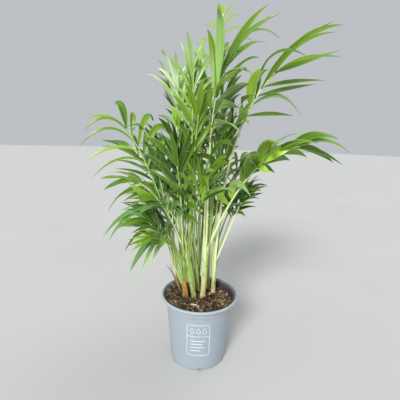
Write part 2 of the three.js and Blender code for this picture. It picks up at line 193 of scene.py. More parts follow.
def layGrid(bm, across, along, place):
    own = len(bm.loops.layers.uv) > 0           # blades have coordinates of their own
    made = bmesh.ops.create_grid(bm, x_segments=across, y_segments=along, size=1, calc_uvs=own)["verts"]
    for vert in made:
        vert.co = place(vert.co.x, (vert.co.y + 1) / 2) * mm
    return made


def weld(bm, verts):
    bmesh.ops.remove_doubles(bm, verts=verts, dist=touching)


def tube(bm, around, rings):    # rings of centre, across, upward and radius, closed to a point at both ends
    rings = [rings[0][:3] + (0,)] + rings + [rings[-1][:3] + (0,)]
    last = len(rings) - 1

    def place(a, s):
        centre, across, upward, radius = rings[round(s * last)]
        angle = pi * a
        return centre + spoke(across, upward, angle, radius(angle) if callable(radius) else radius)

    weld(bm, layGrid(bm, around, last, place))


def pathRings(points, radiusAt, level=Vector((1, 0, 0))):
    rings = []
    for k, point in enumerate(points):
        along = (points[min(k + 1, len(points) - 1)] - points[max(k - 1, 0)]).normalized()
        across = square(along, level)
        rings.append((point, across, along.cross(across), radiusAt(k / (len(points) - 1))))
    return rings


def colourFrom(bm, start, index):       # the faces made since start take one of the piece's materials
    bm.faces.ensure_lookup_table()
    for face in bm.faces[start:]:
        face.material_index = index


def makePiece(name, bm, materials, replaced=(), sharp=None):
    mesh = bpy.data.meshes.new(name)
    bm.to_mesh(mesh)
    bm.free()
    piece = bpy.data.objects.new(name, mesh)
    bpy.context.scene.collection.objects.link(piece)
    for material in materials:
        mesh.materials.append(material)
    mesh.shade_smooth()
    if sharp:
        mesh.set_sharp_from_angle(angle=radians(sharp))
    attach(piece, "root")
    if replaced:
        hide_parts(*replaced)
    return piece


def settle(piece, sharp):       # its modifiers become its mesh, and edges over the sharp angle are crisp
    graph = bpy.context.evaluated_depsgraph_get()
    mesh = bpy.data.meshes.new_from_object(piece.evaluated_get(graph))
    old = piece.data
    piece.modifiers.clear()
    piece.data = mesh
    bpy.data.meshes.remove(old)
    mesh.set_sharp_from_angle(angle=radians(sharp))


# Camera, floor and light.

def makeCamera():
    camera = bpy.data.objects.new("camera", bpy.data.cameras.new("camera"))
    camera.data.lens = view["lens"]
    camera.data.sensor_width = view["sensor"]
    camera.data.clip_start = view["near"] * mm
    turn = Matrix.Rotation(radians(view["pitch"]), 4, "X") @ Matrix.Rotation(radians(view["roll"]), 4, "Z")
    camera.matrix_world = Matrix.Translation(Vector(view["place"]) * mm) @ turn
    bpy.context.scene.collection.objects.link(camera)
    bpy.context.scene.camera = camera


def floorMaterial():
    shader = Shader("paleFloor")
    soft = shader.grain(6, 4)
    colour = shader.blend(soft, paint(floorLook["colour"], 0.94), paint(floorLook["colour"], 1.04))
    return shader.finish({"Base Color": colour, "Roughness": 0.85})


def makeFloor():
    bm = bmesh.new()
    radius = floorLook["radius"] * mm
    bmesh.ops.create_circle(bm, cap_ends=True, segments=floorLook["segments"], radius=radius)
    mesh = bpy.data.meshes.new("floor")
    bm.to_mesh(mesh)
    bm.free()
    floor = bpy.data.objects.new("floor", mesh)
    mesh.materials.append(floorMaterial())
    bpy.context.scene.collection.objects.link(floor)


def makeLights():
    for light in lights:
        data = bpy.data.lights.new(light["name"], "SUN")
        data.angle = radians(light["wide"])
        data.energy = light["power"]
        lamp = bpy.data.objects.new(light["name"], data)
        place = Vector(light["place"])
        turn = (-place).to_track_quat("-Z", "Y").to_matrix().to_4x4()
        lamp.matrix_world = Matrix.Translation(place * mm) @ turn
        bpy.context.scene.collection.objects.link(lamp)
    sky = bpy.data.worlds.new("softSky")
    sky.use_nodes = True
    sky.node_tree.nodes["Background"].inputs["Color"].default_value = paint(world["colour"])
    sky.node_tree.nodes["Background"].inputs["Strength"].default_value = world["strength"]
    bpy.context.scene.world = sky
    bpy.context.scene.view_settings.view_transform = "Standard"


makeCamera()
makeFloor()
makeLights()
print("camera, floor and light made")


# The pot.

pot = {                         # radii and heights, and from where to where the rim top has a painted highlight, the rim is dusty, and the inside is lighter above its painted shade and peat
    "segments": 144, "height": 57.6, "foot": 23.45, "neck": 28.0, "neckHeight": 49.5,
    "hollow": 19.4, "hollowUp": 0.5, "footRing": 20.1, "floor": 1.4,
    "collarFoot": 28.85, "collarLow": 49.9, "collar": 29.15,
    "lip": 32.5, "lipLow": 55.2, "lipUnder": 32.1, "lipSide": 56.0, "lipInner": 30.9,
    "innerFoot": 22.9, "innerNeck": 27.3, "innerNeckHeight": 48.9, "innerLip": 28.3,
    "rimHighlight": (54.5, 56.8), "rimDusty": (47, 56), "insideLitAndClean": (55.8, 57.6), "crisp": 38,
    # inside is the dark of the inner wall: painted shade, with peat rubbed in
    # pale is the colour of the rim top's painted highlight
    "colour": "#a1abb4", "pale": "#b4bcc1", "scuff": "#c6ced6", "inside": "#33373a", "dust": "#54463a",
}
notches = {"count": 6, "radius": 2.6, "depth": 4, "turn": 35, "segments": 32}


def rounded(corners, steps=5):  # radius, height and rounding of each corner of a profile
    points = []
    for k, (x, z, size) in enumerate(corners):
        here = Vector((x, 0, z))
        if size == 0:
            points.append(here)
            continue
        before = (Vector((corners[k - 1][0], 0, corners[k - 1][1])) - here).normalized() * size
        after = (Vector((corners[k + 1][0], 0, corners[k + 1][1])) - here).normalized() * size
        for step in range(steps + 1):
            t = step / steps
            points.append(here + before * (1 - t) ** 2 + after * t ** 2)
    return points


def insideMaterial():           # the same plastic, darker inside: painted shade on the inner wall, with peat rubbed into it, up to the rim
    shader = Shader("shadedSoiledPlastic")
    # the inner wall's dark is painted shade and peat dirt; above it the rim turns to a darker copy of the
    # pot's colour, also painted shade
    litAndClean = shader.rise(*pot["insideLitAndClean"])
    colour = shader.blend(litAndClean, paint(pot["inside"]), paint(pot["colour"], 0.66))
    grime = shader.span(shader.grain(210, 5, rough=0.65), 0.42, 0.66)
    colour = shader.blend(grime * 0.6, colour, paint(pot["dust"]))
    return shader.finish({"Base Color": colour, "Roughness": 0.6})


def potMaterial():
    shader = Shader("bluishPlastic")
    colour = shader.blend(shader.grain(45, 4), paint(pot["colour"], 0.93), paint(pot["colour"], 1.06))
    # a paler band round the rim top: a painted highlight
    colour = shader.blend(shader.rise(*pot["rimHighlight"]) * 0.6, colour, paint(pot["pale"]))
    dusty = shader.span(shader.grain(260, 5, rough=0.65), 0.6, 0.74) * shader.rise(*pot["rimDusty"])
    colour = shader.blend(dusty * 0.45, colour, paint(pot["dust"]))
    scuff = shader.span(shader.grain(330, 4, (1, 1, 0.12)), 0.63, 0.72)
    colour = shader.blend(scuff * 0.22, colour, paint(pot["scuff"]))
    rough = shader.span(shader.grain(160, 3), 0.3, 0.7, 0.36, 0.48) + scuff * 0.15
    bump = shader.bump(shader.grain(2600, 2) * 0.5 + shader.grain(500, 2) * 0.5, 0.12, 0.1)
    return shader.finish({"Base Color": colour, "Roughness": rough, "Normal": bump})


def makePot():
    profile = rounded([
        (0, pot["hollowUp"], 0), (pot["hollow"], pot["hollowUp"], 0.3), (pot["footRing"], 0, 0.3),
        (pot["foot"], 0, 1.7), (pot["neck"], pot["neckHeight"], 0.5),
        (pot["collarFoot"], pot["collarLow"], 0.35), (pot["collar"], pot["lipLow"], 0.3),
        (pot["lipUnder"], pot["lipLow"], 0.5), (pot["lip"], pot["lipSide"], 0.4),
        (pot["lip"], pot["height"], 0.9), (pot["lipInner"], pot["height"], 0.5),
        (pot["innerLip"], pot["lipLow"], 0.5), (pot["innerNeck"], pot["innerNeckHeight"], 0.5),
        (pot["innerFoot"], pot["floor"], 0.6), (0, pot["floor"], 0),
    ])
    bm = bmesh.new()
    verts = [bm.verts.new(point * mm) for point in profile]
    edges = [bm.edges.new(pair) for pair in zip(verts, verts[1:])]
    bmesh.ops.spin(bm, geom=verts + edges, cent=(0, 0, 0), axis=(0, 0, 1), angle=tau, steps=pot["segments"],
                   use_merge=True)
    weld(bm, bm.verts)
    bmesh.ops.recalc_face_normals(bm, faces=bm.faces)
    for face in bm.faces:       # those that look inwards have the second material
        middle = face.calc_center_median()
        face.material_index = int(face.normal.x * middle.x + face.normal.y * middle.y < -1e-5)
    piece = makePiece("plant_pot", bm, [potMaterial(), insideMaterial()], ["pot"])
    drills = bmesh.new()
    size = notches["radius"] * mm
    for k in range(notches["count"]):
        turn = Matrix.Rotation(radians(notches["turn"] + 360 / notches["count"] * k), 4, "Z")
        lie = turn @ Matrix.Translation(((pot["foot"] + 1) * mm, 0, 0)) @ Matrix.Rotation(pi / 2, 4, "Y")
        bmesh.ops.create_cone(drills, cap_ends=True, segments=notches["segments"], matrix=lie,
                              radius1=size, radius2=size, depth=notches["depth"] * 2 * mm)
    cutter = bpy.data.objects.new("notchDrills", bpy.data.meshes.new("notchDrills"))
    drills.to_mesh(cutter.data)
    drills.free()
    bpy.context.scene.collection.objects.link(cutter)
    cut = piece.modifiers.new("notches", "BOOLEAN")
    cut.operation = "DIFFERENCE"
    cut.solver = "EXACT"
    cut.object = cutter
    settle(piece, pot["crisp"])
    bpy.data.objects.remove(cutter)


# A plain care mark: an outline, three drops and bars. Places are across the pot and up it, in millimetres.
mark = {
    "middle": -90.5, "left": -9.2, "right": 9.2, "low": 15.0, "high": 43.5, "corner": 2.0, "divide": 33.0,
    "line": 0.5, "dropLine": 0.4, "barLine": 0.75, "proud": 0.05, "film": 0.08, "colour": "#e6eaed",
    "drops": [(-5.0, 37.6), (0, 37.6), (5.0, 37.6)], "dropSize": 1.6, "pinched": 0.55, "pointed": 0.9,
    "pitch": 1.2, "cornerSteps": 6, "divideSteps": 12, "dropSteps": 24, "barSteps": 8,
    "bars": [(-6.4, 6.4, 28.6), (-6.4, 4.2, 25.6), (-6.4, 5.6, 22.6), (-6.4, 2.2, 19.6)],
}


def onPot(across, z):
    radius = lerp(pot["foot"], pot["neck"], z / pot["neckHeight"]) + mark["proud"]
    angle = radians(mark["middle"]) + across / radius
    return Vector((cos(angle) * radius, sin(angle) * radius, z))


def inkLine(bm, path, width):   # a thin strip on the pot's side along a path of (across, height)
    last = len(path) - 1
    closed = path[0] == path[-1]

    def place(a, s):
        k = round(s * last)
        before = path[k - 1 if k > 0 else (last - 1 if closed else 0)]
        after = path[k + 1 if k < last else (1 if closed else last)]
        along = Vector((after[0] - before[0], after[1] - before[1])).normalized()
        return onPot(path[k][0] + along.y * a * width / 2, path[k][1] - along.x * a * width / 2)

    made = layGrid(bm, 1, last, place)
    if closed:
        weld(bm, made)


def between(start, end, steps):
    return [(lerp(start[0], end[0], k / steps), lerp(start[1], end[1], k / steps)) for k in range(steps + 1)]


def inkMaterial():
    shader = Shader("whiteInk")
    worn = shader.span(shader.grain(700, 3), 0.52, 0.68)
    colour = shader.blend(worn * 0.5, paint(mark["colour"]), paint(pot["colour"]))
    return shader.finish({"Base Color": colour, "Roughness": 0.5})


def makeMark():
    bm = bmesh.new()
    size = mark["corner"]
    outline = []
    corners = [(mark["right"], mark["high"], 0), (mark["left"], mark["high"], 90),
               (mark["left"], mark["low"], 180), (mark["right"], mark["low"], 270)]
    for x, z, start in corners:
        middle = (x - copysign(size, x), z - size if z == mark["high"] else z + size)
        for step in range(mark["cornerSteps"] + 1):
            angle = radians(start + step * 90 / mark["cornerSteps"])
            outline.append((middle[0] + cos(angle) * size, middle[1] + sin(angle) * size))
    path = []
    for start, end in zip(outline, outline[1:] + outline[:1]):
        steps = max(1, round(dist(start, end) / mark["pitch"]))
        path += between(start, end, steps)[:-1]
    inkLine(bm, path + path[:1], mark["line"])
    ends = (mark["left"], mark["divide"]), (mark["right"], mark["divide"])
    inkLine(bm, between(*ends, mark["divideSteps"]), mark["line"])
    for x, z in mark["drops"]:
        drop = []
        for step in range(mark["dropSteps"]):
            angle = tau * step / mark["dropSteps"]
            pinch = max(0, sin(angle)) ** 3
            drop.append((x + cos(angle) * mark["dropSize"] * (1 - mark["pinched"] * pinch),
                         z + sin(angle) * mark["dropSize"] * (1 + mark["pointed"] * pinch)))
        inkLine(bm, drop + drop[:1], mark["dropLine"])
    for left, right, z in mark["bars"]:
        inkLine(bm, between((left, z), (right, z), mark["barSteps"]), mark["barLine"])
    piece = makePiece("pot_mark", bm, [inkMaterial()])
    film = piece.modifiers.new("film", "SOLIDIFY")
    film.thickness = mark["film"] * mm
    film.offset = -1


makePot()
makeMark()
print("pot made")


# The soil.

soil = {
    "top": 51.8, "dome": 1.6, "edge": 27.21,                # the solid's crown and its fall to the edge
    "side": [(0, 1.7), (22.6, 1.7), (23.7, 15), (24.9, 28), (26.1, 40), (27.0, 47.6)],  # radius, height
    "lumps": [(1.7, 4.6), (1.3, 1.9), (0.9, 0.85)], "lumpCut": 3.7,                     # height, width
    "heap": 6.0, "heapFrom": 12, "slope": 15, "open": (0.82, 0.57), "openFrom": 7,     # not where it is open
    "settled": 0.4, "calmAt": 28.4, "calmOver": 2.5, "calm": 0.45, "rim": 28, "sunk": 0.2,
    "around": 150, "steps": 56,
    "dark": "#261d13", "mid": "#5d4e39", "tan": "#a99675", "speck": "#b49a74",
}
lumpShape = {"wide": (0.7, 1.9), "deep": (0.5, 1.1), "high": (0.35, 0.9), "rough": 0.3, "crisp": 30}
crumbs = {"count": 2300, "size": (0.3, 1.75), "fewLarge": 2.4, "reach": 28, "clear": 0.8, "proud": 0.25,
          "shadeWithin": 18, "shadeOver": 8, "shadeBias": (1.2, 2.2), "seed": 4211,
          "kinds": [("crumbDark", 0.48), ("crumbBrown", 1.25), ("crumbTan", 2.7)]}  # and how light each is
perlite = {"count": 26, "size": (0.5, 1.1), "reach": 25, "front": 8, "frontX": (-8, 2), "frontY": (-18, -13),
           "frontSize": 1.5, "proud": 0.5, "colours": ("#9c8a6c", "#d9d0ba"), "seed": 3301}
fibres = {"count": 90, "length": (3, 11), "thick": (0.09, 0.2), "thinning": 0.5, "bend": (-1.2, 1.2),
          "lift": (-0.2, 0.9), "above": 0.15, "reach": 24, "edge": 26, "around": 5, "steps": 6, "fewest": 4,
          "colours": ("#6f5234", "#b8935f"), "seed": 977}
rootHairs = [                   # a fine one over the lip and a thicker one on the soil
    {"way": [(-9.4, -25.4, 50.7), (-9.0, -28.2, 56.9), (-8.5, -30.2, 58.0), (-7.8, -32.0, 57.9),
             (-7.1, -32.3, 55.6), (-5.6, -29.9, 52.0), (-4.3, -28.9, 48.6)],
     "level": (1, 0, 0), "around": 6, "thick": (0.13, 0.08)},
    {"way": [(-7.6, -12, 52.6), (-5.2, -13.1, 53.2), (-2.6, -13.5, 53), (0.3, -14.4, 52)],
     "level": (0, 0, 1), "around": 8, "thick": (0.8, 0.5)},
]
hairColours = ("#c9c4b4", "#ece8dc")


def wallRadius(z):              # the inside of the pot at the height of the soil
    if z > pot["lipLow"]:
        return lerp(pot["innerLip"], pot["lipInner"], (z - pot["lipLow"]) / (pot["height"] - pot["lipLow"]))
    share = (z - pot["innerNeckHeight"]) / (pot["lipLow"] - pot["innerNeckHeight"])
    return lerp(pot["innerNeck"], pot["innerLip"], share)


def soilHeight(x, y):           # the solid's own height, which the feet of the shoots stand on
    return soil["top"] - soil["dome"] * (x * x + y * y) / soil["edge"] ** 2


def roughSoil(x, y):
    spot = Vector((x, y, soil["lumpCut"]))
    far = hypot(x, y)
    lumps = sum(high * noise.noise(spot / wide) for high, wide in soil["lumps"])
    hollow = smooth((x * soil["open"][0] + y * soil["open"][1] - soil["openFrom"]) / soil["slope"])
    heap = soil["heap"] * smooth((far - soil["heapFrom"]) / soil["slope"]) * (1 - hollow)
    calm = smooth((soil["calmAt"] - far) / soil["calmOver"])
    return soilHeight(x, y) - soil["settled"] + heap + lumps * lerp(soil["calm"], 1, calm)


def soilMaterial(name, tone, speck):
    shader = Shader(name)
    patches = shader.grain(190, 5, rough=0.7)
    fine = shader.grain(1500, 4, rough=0.7)
    dark, mid, tan = (paint(soil[key], tone) for key in ("dark", "mid", "tan"))
    colour = shader.ramp(patches * 0.5 + fine * 0.5, [(0.36, dark), (0.52, mid), (0.7, tan)])
    light = shader.span(shader.grain(2600, 2), 0.7, 0.76)
    colour = shader.blend(light * speck, colour, paint(soil["speck"]))
    bump = shader.bump(fine + patches * 0.5, 0.9, 0.6)
    values = {"Base Color": colour, "Roughness": 0.95, "Normal": bump, "Specular IOR Level": 0.25}
    return shader.finish(values)


def twoTone(name, scale, detail, colours, rough):
    shader = Shader(name)
    colour = shader.blend(shader.grain(scale, detail), paint(colours[0]), paint(colours[1]))
    return shader.finish({"Base Color": colour, "Roughness": rough})


def makeSoil():
    bm = bmesh.new()
    side = soil["side"]
    last = len(side) + soil["steps"]

    def place(a, s):
        k = round(s * last)
        x = cos(pi * a)
        y = sin(pi * a)
        if k < len(side):
            radius, z = side[k]
            return Vector((x * radius, y * radius, z))
        rim = soil["rim"]
        for _ in range(3):      # the edge follows the wall at its own height
            rim = wallRadius(roughSoil(x * rim, y * rim)) + soil["sunk"]
        radius = rim * (last - k) / soil["steps"]
        return Vector((x * radius, y * radius, roughSoil(x * radius, y * radius)))

    weld(bm, layGrid(bm, soil["around"], last, place))
    makePiece("soil_bed", bm, [soilMaterial("peat", 1, 0.5)], ["soil"])


def scatter(draw, reach):       # an even spot on the soil
    angle = draw(0, tau)
    radius = reach * sqrt(draw(0, 1))
    return cos(angle) * radius, sin(angle) * radius


def keptInside(x, y, size):     # a spot on the soil, drawn in from the wall by the size of what lies there
    room = min(1, (wallRadius(roughSoil(x, y)) - size * crumbs["clear"]) / hypot(x, y))
    return Vector((x * room, y * room, roughSoil(x * room, y * room)))


def lump(bm, spot, size, draw): # one crumb of few faces
    angle = draw(0, tau)
    axis = Vector((draw(-1, 1), draw(-1, 1), draw(-1, 1) + 0.1)).normalized()
    shape = Matrix.Diagonal([draw(*lumpShape[way]) for way in ("wide", "deep", "high")] + [1])
    where = Matrix.Translation(spot * mm) @ Matrix.Rotation(angle, 4, axis) @ shape
    made = bmesh.ops.create_icosphere(bm, subdivisions=1, radius=size * mm, matrix=where)["verts"]
    for vert in made:
        vert.co += Vector((draw(-1, 1), draw(-1, 1), draw(-1, 1))) * (size * lumpShape["rough"] * mm)


def makeCrumbs():               # more of them are dark near the shoots: painted shade round the feet of the clump
    draw = dice(crumbs["seed"])
    bm = bmesh.new()
    for _ in range(crumbs["count"]):
        x, y = scatter(draw, crumbs["reach"])
        size = lerp(*crumbs["size"], draw(0, 1) ** crumbs["fewLarge"])
        start = len(bm.faces)
        lump(bm, keptInside(x, y, size) + skyward * (size * crumbs["proud"]), size, draw)
        # near the shoots the dark crumb kind is drawn more often: painted shade
        near = smooth((crumbs["shadeWithin"] - hypot(x, y)) / crumbs["shadeOver"])
        bias = lerp(*crumbs["shadeBias"], near)
        colourFrom(bm, start, int(len(crumbs["kinds"]) * draw(0, 0.999) ** bias))
    materials = [soilMaterial(name, tone, 0.8) for name, tone in crumbs["kinds"]]
    makePiece("soil_crumbs", bm, materials, sharp=lumpShape["crisp"])


def makePerlite():
    draw = dice(perlite["seed"])
    bm = bmesh.new()
    for k in range(perlite["count"]):
        x, y = scatter(draw, perlite["reach"])
        size = draw(*perlite["size"])
        if k < perlite["front"]:        # the largest lie in front of the shoots
            x, y = draw(*perlite["frontX"]), draw(*perlite["frontY"])
            size *= perlite["frontSize"]
        lump(bm, Vector((x, y, roughSoil(x, y) + size * perlite["proud"])), size, draw)
    shader = Shader("perliteGrit")
    colour = shader.blend(shader.grain(900, 3), paint(perlite["colours"][0]), paint(perlite["colours"][1]))
    bump = shader.bump(shader.grain(3000, 2), 0.5, 0.2)
    grit = shader.finish({"Base Color": colour, "Roughness": 0.9, "Normal": bump})
    makePiece("perlite", bm, [grit], sharp=lumpShape["crisp"])


def makeFibres():
    draw = dice(fibres["seed"])
    bm = bmesh.new()
    for _ in range(fibres["count"]):
        x, y = scatter(draw, fibres["reach"])
        heading = draw(0, tau)
        length = draw(*fibres["length"])
        bend = draw(*fibres["bend"])
        lift = draw(*fibres["lift"])
        points = []
        for step in range(fibres["steps"] + 1):
            t = step / fibres["steps"]
            turn = heading + bend * t
            px = x + cos(turn) * length * (t - 0.5)
            py = y + sin(turn) * length * (t - 0.5)
            if hypot(px, py) > fibres["edge"]:
                break
            points.append(Vector((px, py, roughSoil(px, py) + fibres["above"] + lift * t * t)))
        if len(points) >= fibres["fewest"]:
            thick = draw(*fibres["thick"])
            rings = pathRings(points, lambda t: thick * (1 - fibres["thinning"] * t), skyward)
            tube(bm, fibres["around"], rings)
    makePiece("soil_fibres", bm, [twoTone("strawFibre", 220, 3, fibres["colours"], 0.8)])


def makeRootHairs():
    bm = bmesh.new()
    for hair in rootHairs:
        points = [Vector(point) for point in hair["way"]]
        tube(bm, hair["around"], pathRings(points, lambda t: lerp(*hair["thick"], t), Vector(hair["level"])))
    makePiece("root_hair", bm, [twoTone("rootHair", 400, 2, hairColours, 0.7)])


makeSoil()
makeCrumbs()
makePerlite()
makeFibres()
makeRootHairs()
print("soil made")


# The rule that the plant grows by.

seatGap = 0.4                   # from a shoot's tip to where its fronds start
shoots = {                      # foot and tip of each, its radius at both, and which of the sheaths' colours; the darkest is painted shade on the shoots at the back
    "farLeft": dict(node="shoot_far_left", foot=(-15, 14), tip=(-21.8, 14, 72.6), low=1.6, high=1.9, tone=1),
    "left": dict(node="shoot_left", foot=(-12, 3), tip=(-14.9, 2, 78.2), low=1.6, high=1.9, tone=1),
    "middleLeft": dict(node="shoot_middle_left", foot=(-4, 0), tip=(-10.7, 0, 88.2), low=2.2, high=1.9,
                       tone=1),
    "middle": dict(node="shoot_middle", foot=(-1.5, 11), tip=(-4.9, 12, 79.7), low=1.9, high=2.0, tone=1),
    "main": dict(node="shoot_main", foot=(2.5, 3), tip=(3.8, 3, 94.6), low=2.6, high=2.1, tone=0),
    "right": dict(node="shoot_right", foot=(12, 11), tip=(11.8, 10, 81.1), low=2.0, high=1.9, tone=0),
    "rightBack": dict(node="shoot_right_back", foot=(8, 16.5), tip=(6.5, 16, 85.8), low=1.7, high=2.0,
                      tone=1),
    "back": dict(node="shoot_back", foot=(-2, 21), tip=(-1, 22.5, 82), low=2.0, high=2.3, tone=2),
    "leftBack": dict(node="shoot_left_back", foot=(-10, 20), tip=(-12.5, 23, 76), low=1.7, high=1.9, tone=2),
}
habit = dict(bare=0.68, pairs=5, leaf=44, wide=5.4, spread=50, tight=14, lift=18, roll=0, droop=0.28,
             fore=0.12, pull=1, bow=0.9, sky=0.6, light=26, facing=-90, tint="green", picked={}, slim=0.72,
             taper=1, stout=1, arching=0, tone=0)
# slim and stout scale the width of the leaflets and ribs, and taper is what is left of a leaflet's width at
# the frond's end. arching lifts its middle, and facing is where the leaflets turn their upper side. picked
# gives a tint to single leaflets by pair and side, and light and slim may be a pair, for either side.
shownFronds = [
    dict(name="frond_left_fan", shoot="left", heading=186, reach=44, rise=192, lean=16, climb=55, bare=0.72,
         leaf=44, spread=66, tight=17, lift=9, droop=0.39, roll=104, fore=0.02, light=(64, 12),
         tint="fresh", slim=(0.9, 0.58), arching=0.06, stout=0.85, tone=1, picked={(4, -1): "young"}),
    dict(name="frond_right_high", shoot="right", heading=-6, reach=39, rise=237, lean=2, climb=48,
         bare=0.73, pairs=6, leaf=71, wide=5.8, spread=66, tight=17, lift=11, droop=0.42, roll=160,
         fore=0.23, sky=0.95, light=72, tint="fresh", slim=0.62, stout=1.4, arching=-0.05,
         picked={(1, 1): "bright", (2, 1): "green", (2, -1): "fresh", (3, -1): "fresh", (1, -1): "pale"}),
    dict(name="frond_right_broad", shoot="main", heading=-9, reach=67, rise=183, lean=20, climb=3,
         bare=0.54, pairs=6, leaf=41, wide=7, spread=42, tight=21, lift=-8, droop=0.41, roll=160, sky=0.85,
         light=58, tint="fresh", slim=1.2, taper=0.6, stout=1.3,
         picked={(1, 1): "fresh", (2, 1): "pale", (3, -1): "fresh", (5, 1): "fresh", (5, -1): "green"}),
    dict(name="frond_centre_tall", shoot="main", heading=23, reach=11, rise=239, lean=2, climb=49, bow=0.6,
         bare=0.69, pairs=6, leaf=74, wide=6.2, spread=62, tight=21, lift=-8, droop=0.36, roll=180,
         sky=0.85, light=55, tint="green", slim=0.8, stout=1.9,
         picked={(1, 1): "green", (4, 1): "fresh", (5, 1): "green", (5, -1): "green"}),
    dict(name="frond_centre_front", shoot="main", heading=-81, reach=24, rise=221, lean=10, climb=45,
         bow=1.1, bare=0.55, pairs=6, leaf=70, wide=6.2, spread=66, tight=32, lift=2, droop=0.2, roll=100,
         fore=-0.03, sky=0.9, light=75, tint="green", slim=0.92,
         picked={(1, -1): "pale", (4, 1): "fresh", (5, 1): "pale", (5, -1): "fresh"}),
    dict(name="frond_top_new", shoot="rightBack", heading=52, reach=6, rise=282, lean=0, climb=69, bow=0.6,
         bare=0.77, leaf=25, wide=4, spread=62, tight=5, lift=-8, droop=0.32, roll=16, fore=0.03,
         tint="young"),
    dict(name="frond_left_upright", shoot="left", heading=168, reach=8, rise=220, lean=10, climb=90,
         bow=0.6, bare=0.88, pairs=4, leaf=50, wide=5.6, spread=40, tight=4, lift=18, roll=-60, fore=-0.05,
         sky=0.8, light=65, tint="pale", slim=0.5,
         picked={(0, 1): "silverSheen", (1, 1): "silverSheen", (2, 1): "silverSheen"}),
    dict(name="frond_left_low", shoot="middleLeft", heading=213, reach=49, rise=155, lean=19, climb=-5,
         bow=0.75, bare=0.55, pairs=6, leaf=24, wide=5, spread=64, tight=4, lift=34, droop=0.14, roll=144,
         fore=0.06, tint="fresh", slim=0.74),
    dict(name="frond_left_droop", shoot="farLeft", heading=167, reach=22, rise=126, lean=8, climb=-12,
         bow=0.6, bare=0.54, pairs=4, leaf=61, spread=66, tight=4, lift=-2, droop=0.54, roll=-133, fore=0,
         sky=0.85, light=68, tint="coolSheen", slim=0.66),
    dict(name="frond_left_lowest", shoot="farLeft", heading=202, reach=16, rise=104, lean=20, climb=-6,
         bow=1, bare=0.64, pairs=4, leaf=41, wide=4.8, spread=66, tight=21, lift=-8, droop=0.54, roll=143,
         fore=-0.05, slim=0.74, picked={(0, -1): "silverSheen", (1, -1): "pale", (2, -1): "coolSheen"}),
    dict(name="frond_right_low", shoot="right", heading=8, reach=25, rise=140, lean=20, climb=47, bow=0.6,
         bare=0.61, leaf=23, wide=4.8, spread=64, tight=13, lift=33, droop=0.37, roll=25, fore=0.21),
    dict(name="frond_centre_upright", shoot="middle", heading=61, reach=6, rise=247, lean=14, climb=78,
         bow=1, bare=0.72, pairs=6, leaf=39, wide=4.8, spread=64, tight=24, lift=19, droop=0.48, roll=-140,
         fore=0.17, tint="pale", slim=0.6),
    dict(name="frond_centre_left", shoot="middle", heading=221, reach=18, rise=166, lean=10, climb=86,
         bow=0.8, bare=0.83, leaf=66, spread=55, tight=21, lift=14, droop=0.5, roll=-67, fore=0.33),
    dict(name="frond_front_right", shoot="main", heading=-98, reach=10, rise=154, lean=16, climb=10,
         bow=0.8, bare=0.8, leaf=46, spread=36, tight=11, lift=28, droop=0.25, roll=-17, sky=0.8, light=60,
         tint="fresh", picked={(3, 1): "pale", (4, -1): "young"}),
    dict(name="frond_front_left", shoot="middleLeft", heading=190, reach=8, rise=133, lean=7, climb=86,
         bare=0.67, leaf=46, wide=6, spread=66, tight=10, lift=-6, droop=0.56, roll=-155, fore=0.19),
]
tiers = [
    dict(name="frond_back_high", start=30, end=165, reach=(16, 34), rise=(190, 226), climb=62,
         leaf=(34, 44), shoots=["back", "back", "leftBack", "middle"],
         tints=["green", "deep", "green", "deep"]),
    dict(name="frond_back_mid", start=15, end=165, reach=(34, 54), rise=(146, 180), climb=34, leaf=(34, 44),
         shoots=["right", "rightBack", "back", "leftBack", "farLeft"],
         tints=["deep", "green", "deep", "deep", "green"]),
    dict(name="frond_back_low", start=25, end=160, reach=(28, 44), rise=(112, 138), climb=12, leaf=(34, 44),
         shoots=["right", "rightBack", "back", "leftBack"], tints=["deep", "deep", "green", "deep"]),
    dict(name="frond_front_mid", start=-35, end=-150, reach=(10, 24), rise=(148, 204), climb=66,
         leaf=(34, 44), shoots=["right", "middleLeft", "left", "farLeft"],
         tints=["green", "fresh", "green", "deep"]),
]
smallTiers = [
    dict(name="frond_small_left", start=160, end=250, reach=(16, 34), rise=(106, 146), climb=4,
         leaf=(24, 32), wide=4.2, shoots=["left", "leftBack", "middleLeft", "farLeft"],
         tints=["coolSheen", "fresh", "pale", "coolSheen"]),
    dict(name="frond_small_middle", start=-160, end=-20, reach=(4, 13), rise=(178, 232), climb=76,
         leaf=(36, 46), wide=4.6, slim=0.55, shoots=["middle", "middleLeft", "rightBack"],
         tints=["fresh", "pale", "green"]),
]
tierSeed = 129548
smallSeed = 17697
finerTiers = [                  # fronds that no solid stands for, lower on the shoots, which fill the crown
    dict(name="finer_high", start=-180, end=180, reach=(5, 18), rise=(176, 226), climb=70, leaf=(26, 38),
         wide=4.2, slim=0.55, low=(0.75, 0.95), seed=1400,
         shoots=["left", "middleLeft", "main", "right", "back", "leftBack"],
         tints=["silverSheen", "fresh", "green", "green", "green", "deep"]),
    dict(name="finer_mid", start=-180, end=180, reach=(8, 26), rise=(136, 184), climb=50, leaf=(26, 40),
         wide=4.4, low=(0.6, 0.9), seed=78,
         shoots=["farLeft", "left", "middleLeft", "main", "right", "rightBack", "back", "leftBack"],
         tints=["green", "deep", "green", "green", "deep", "green", "deep", "green"]),
    dict(name="finer_low", start=-180, end=180, reach=(10, 28), rise=(106, 146), climb=25, leaf=(22, 32),
         wide=3.8, low=(0.5, 0.8), seed=3162,
         shoots=["farLeft", "left", "middle", "right", "rightBack", "leftBack"],
         tints=["green", "deep", "deep", "deep", "deep", "deep"]),
    dict(name="finer_left", start=165, end=235, reach=(24, 44), rise=(100, 148), climb=10, leaf=(24, 34),
         wide=4.6, low=(0.5, 0.85), seed=694, shoots=["leftBack", "farLeft", "left", "middleLeft", "left"],
         tints=["coolSheen", "coolSheen", "green", "fresh", "coolSheen"]),
]
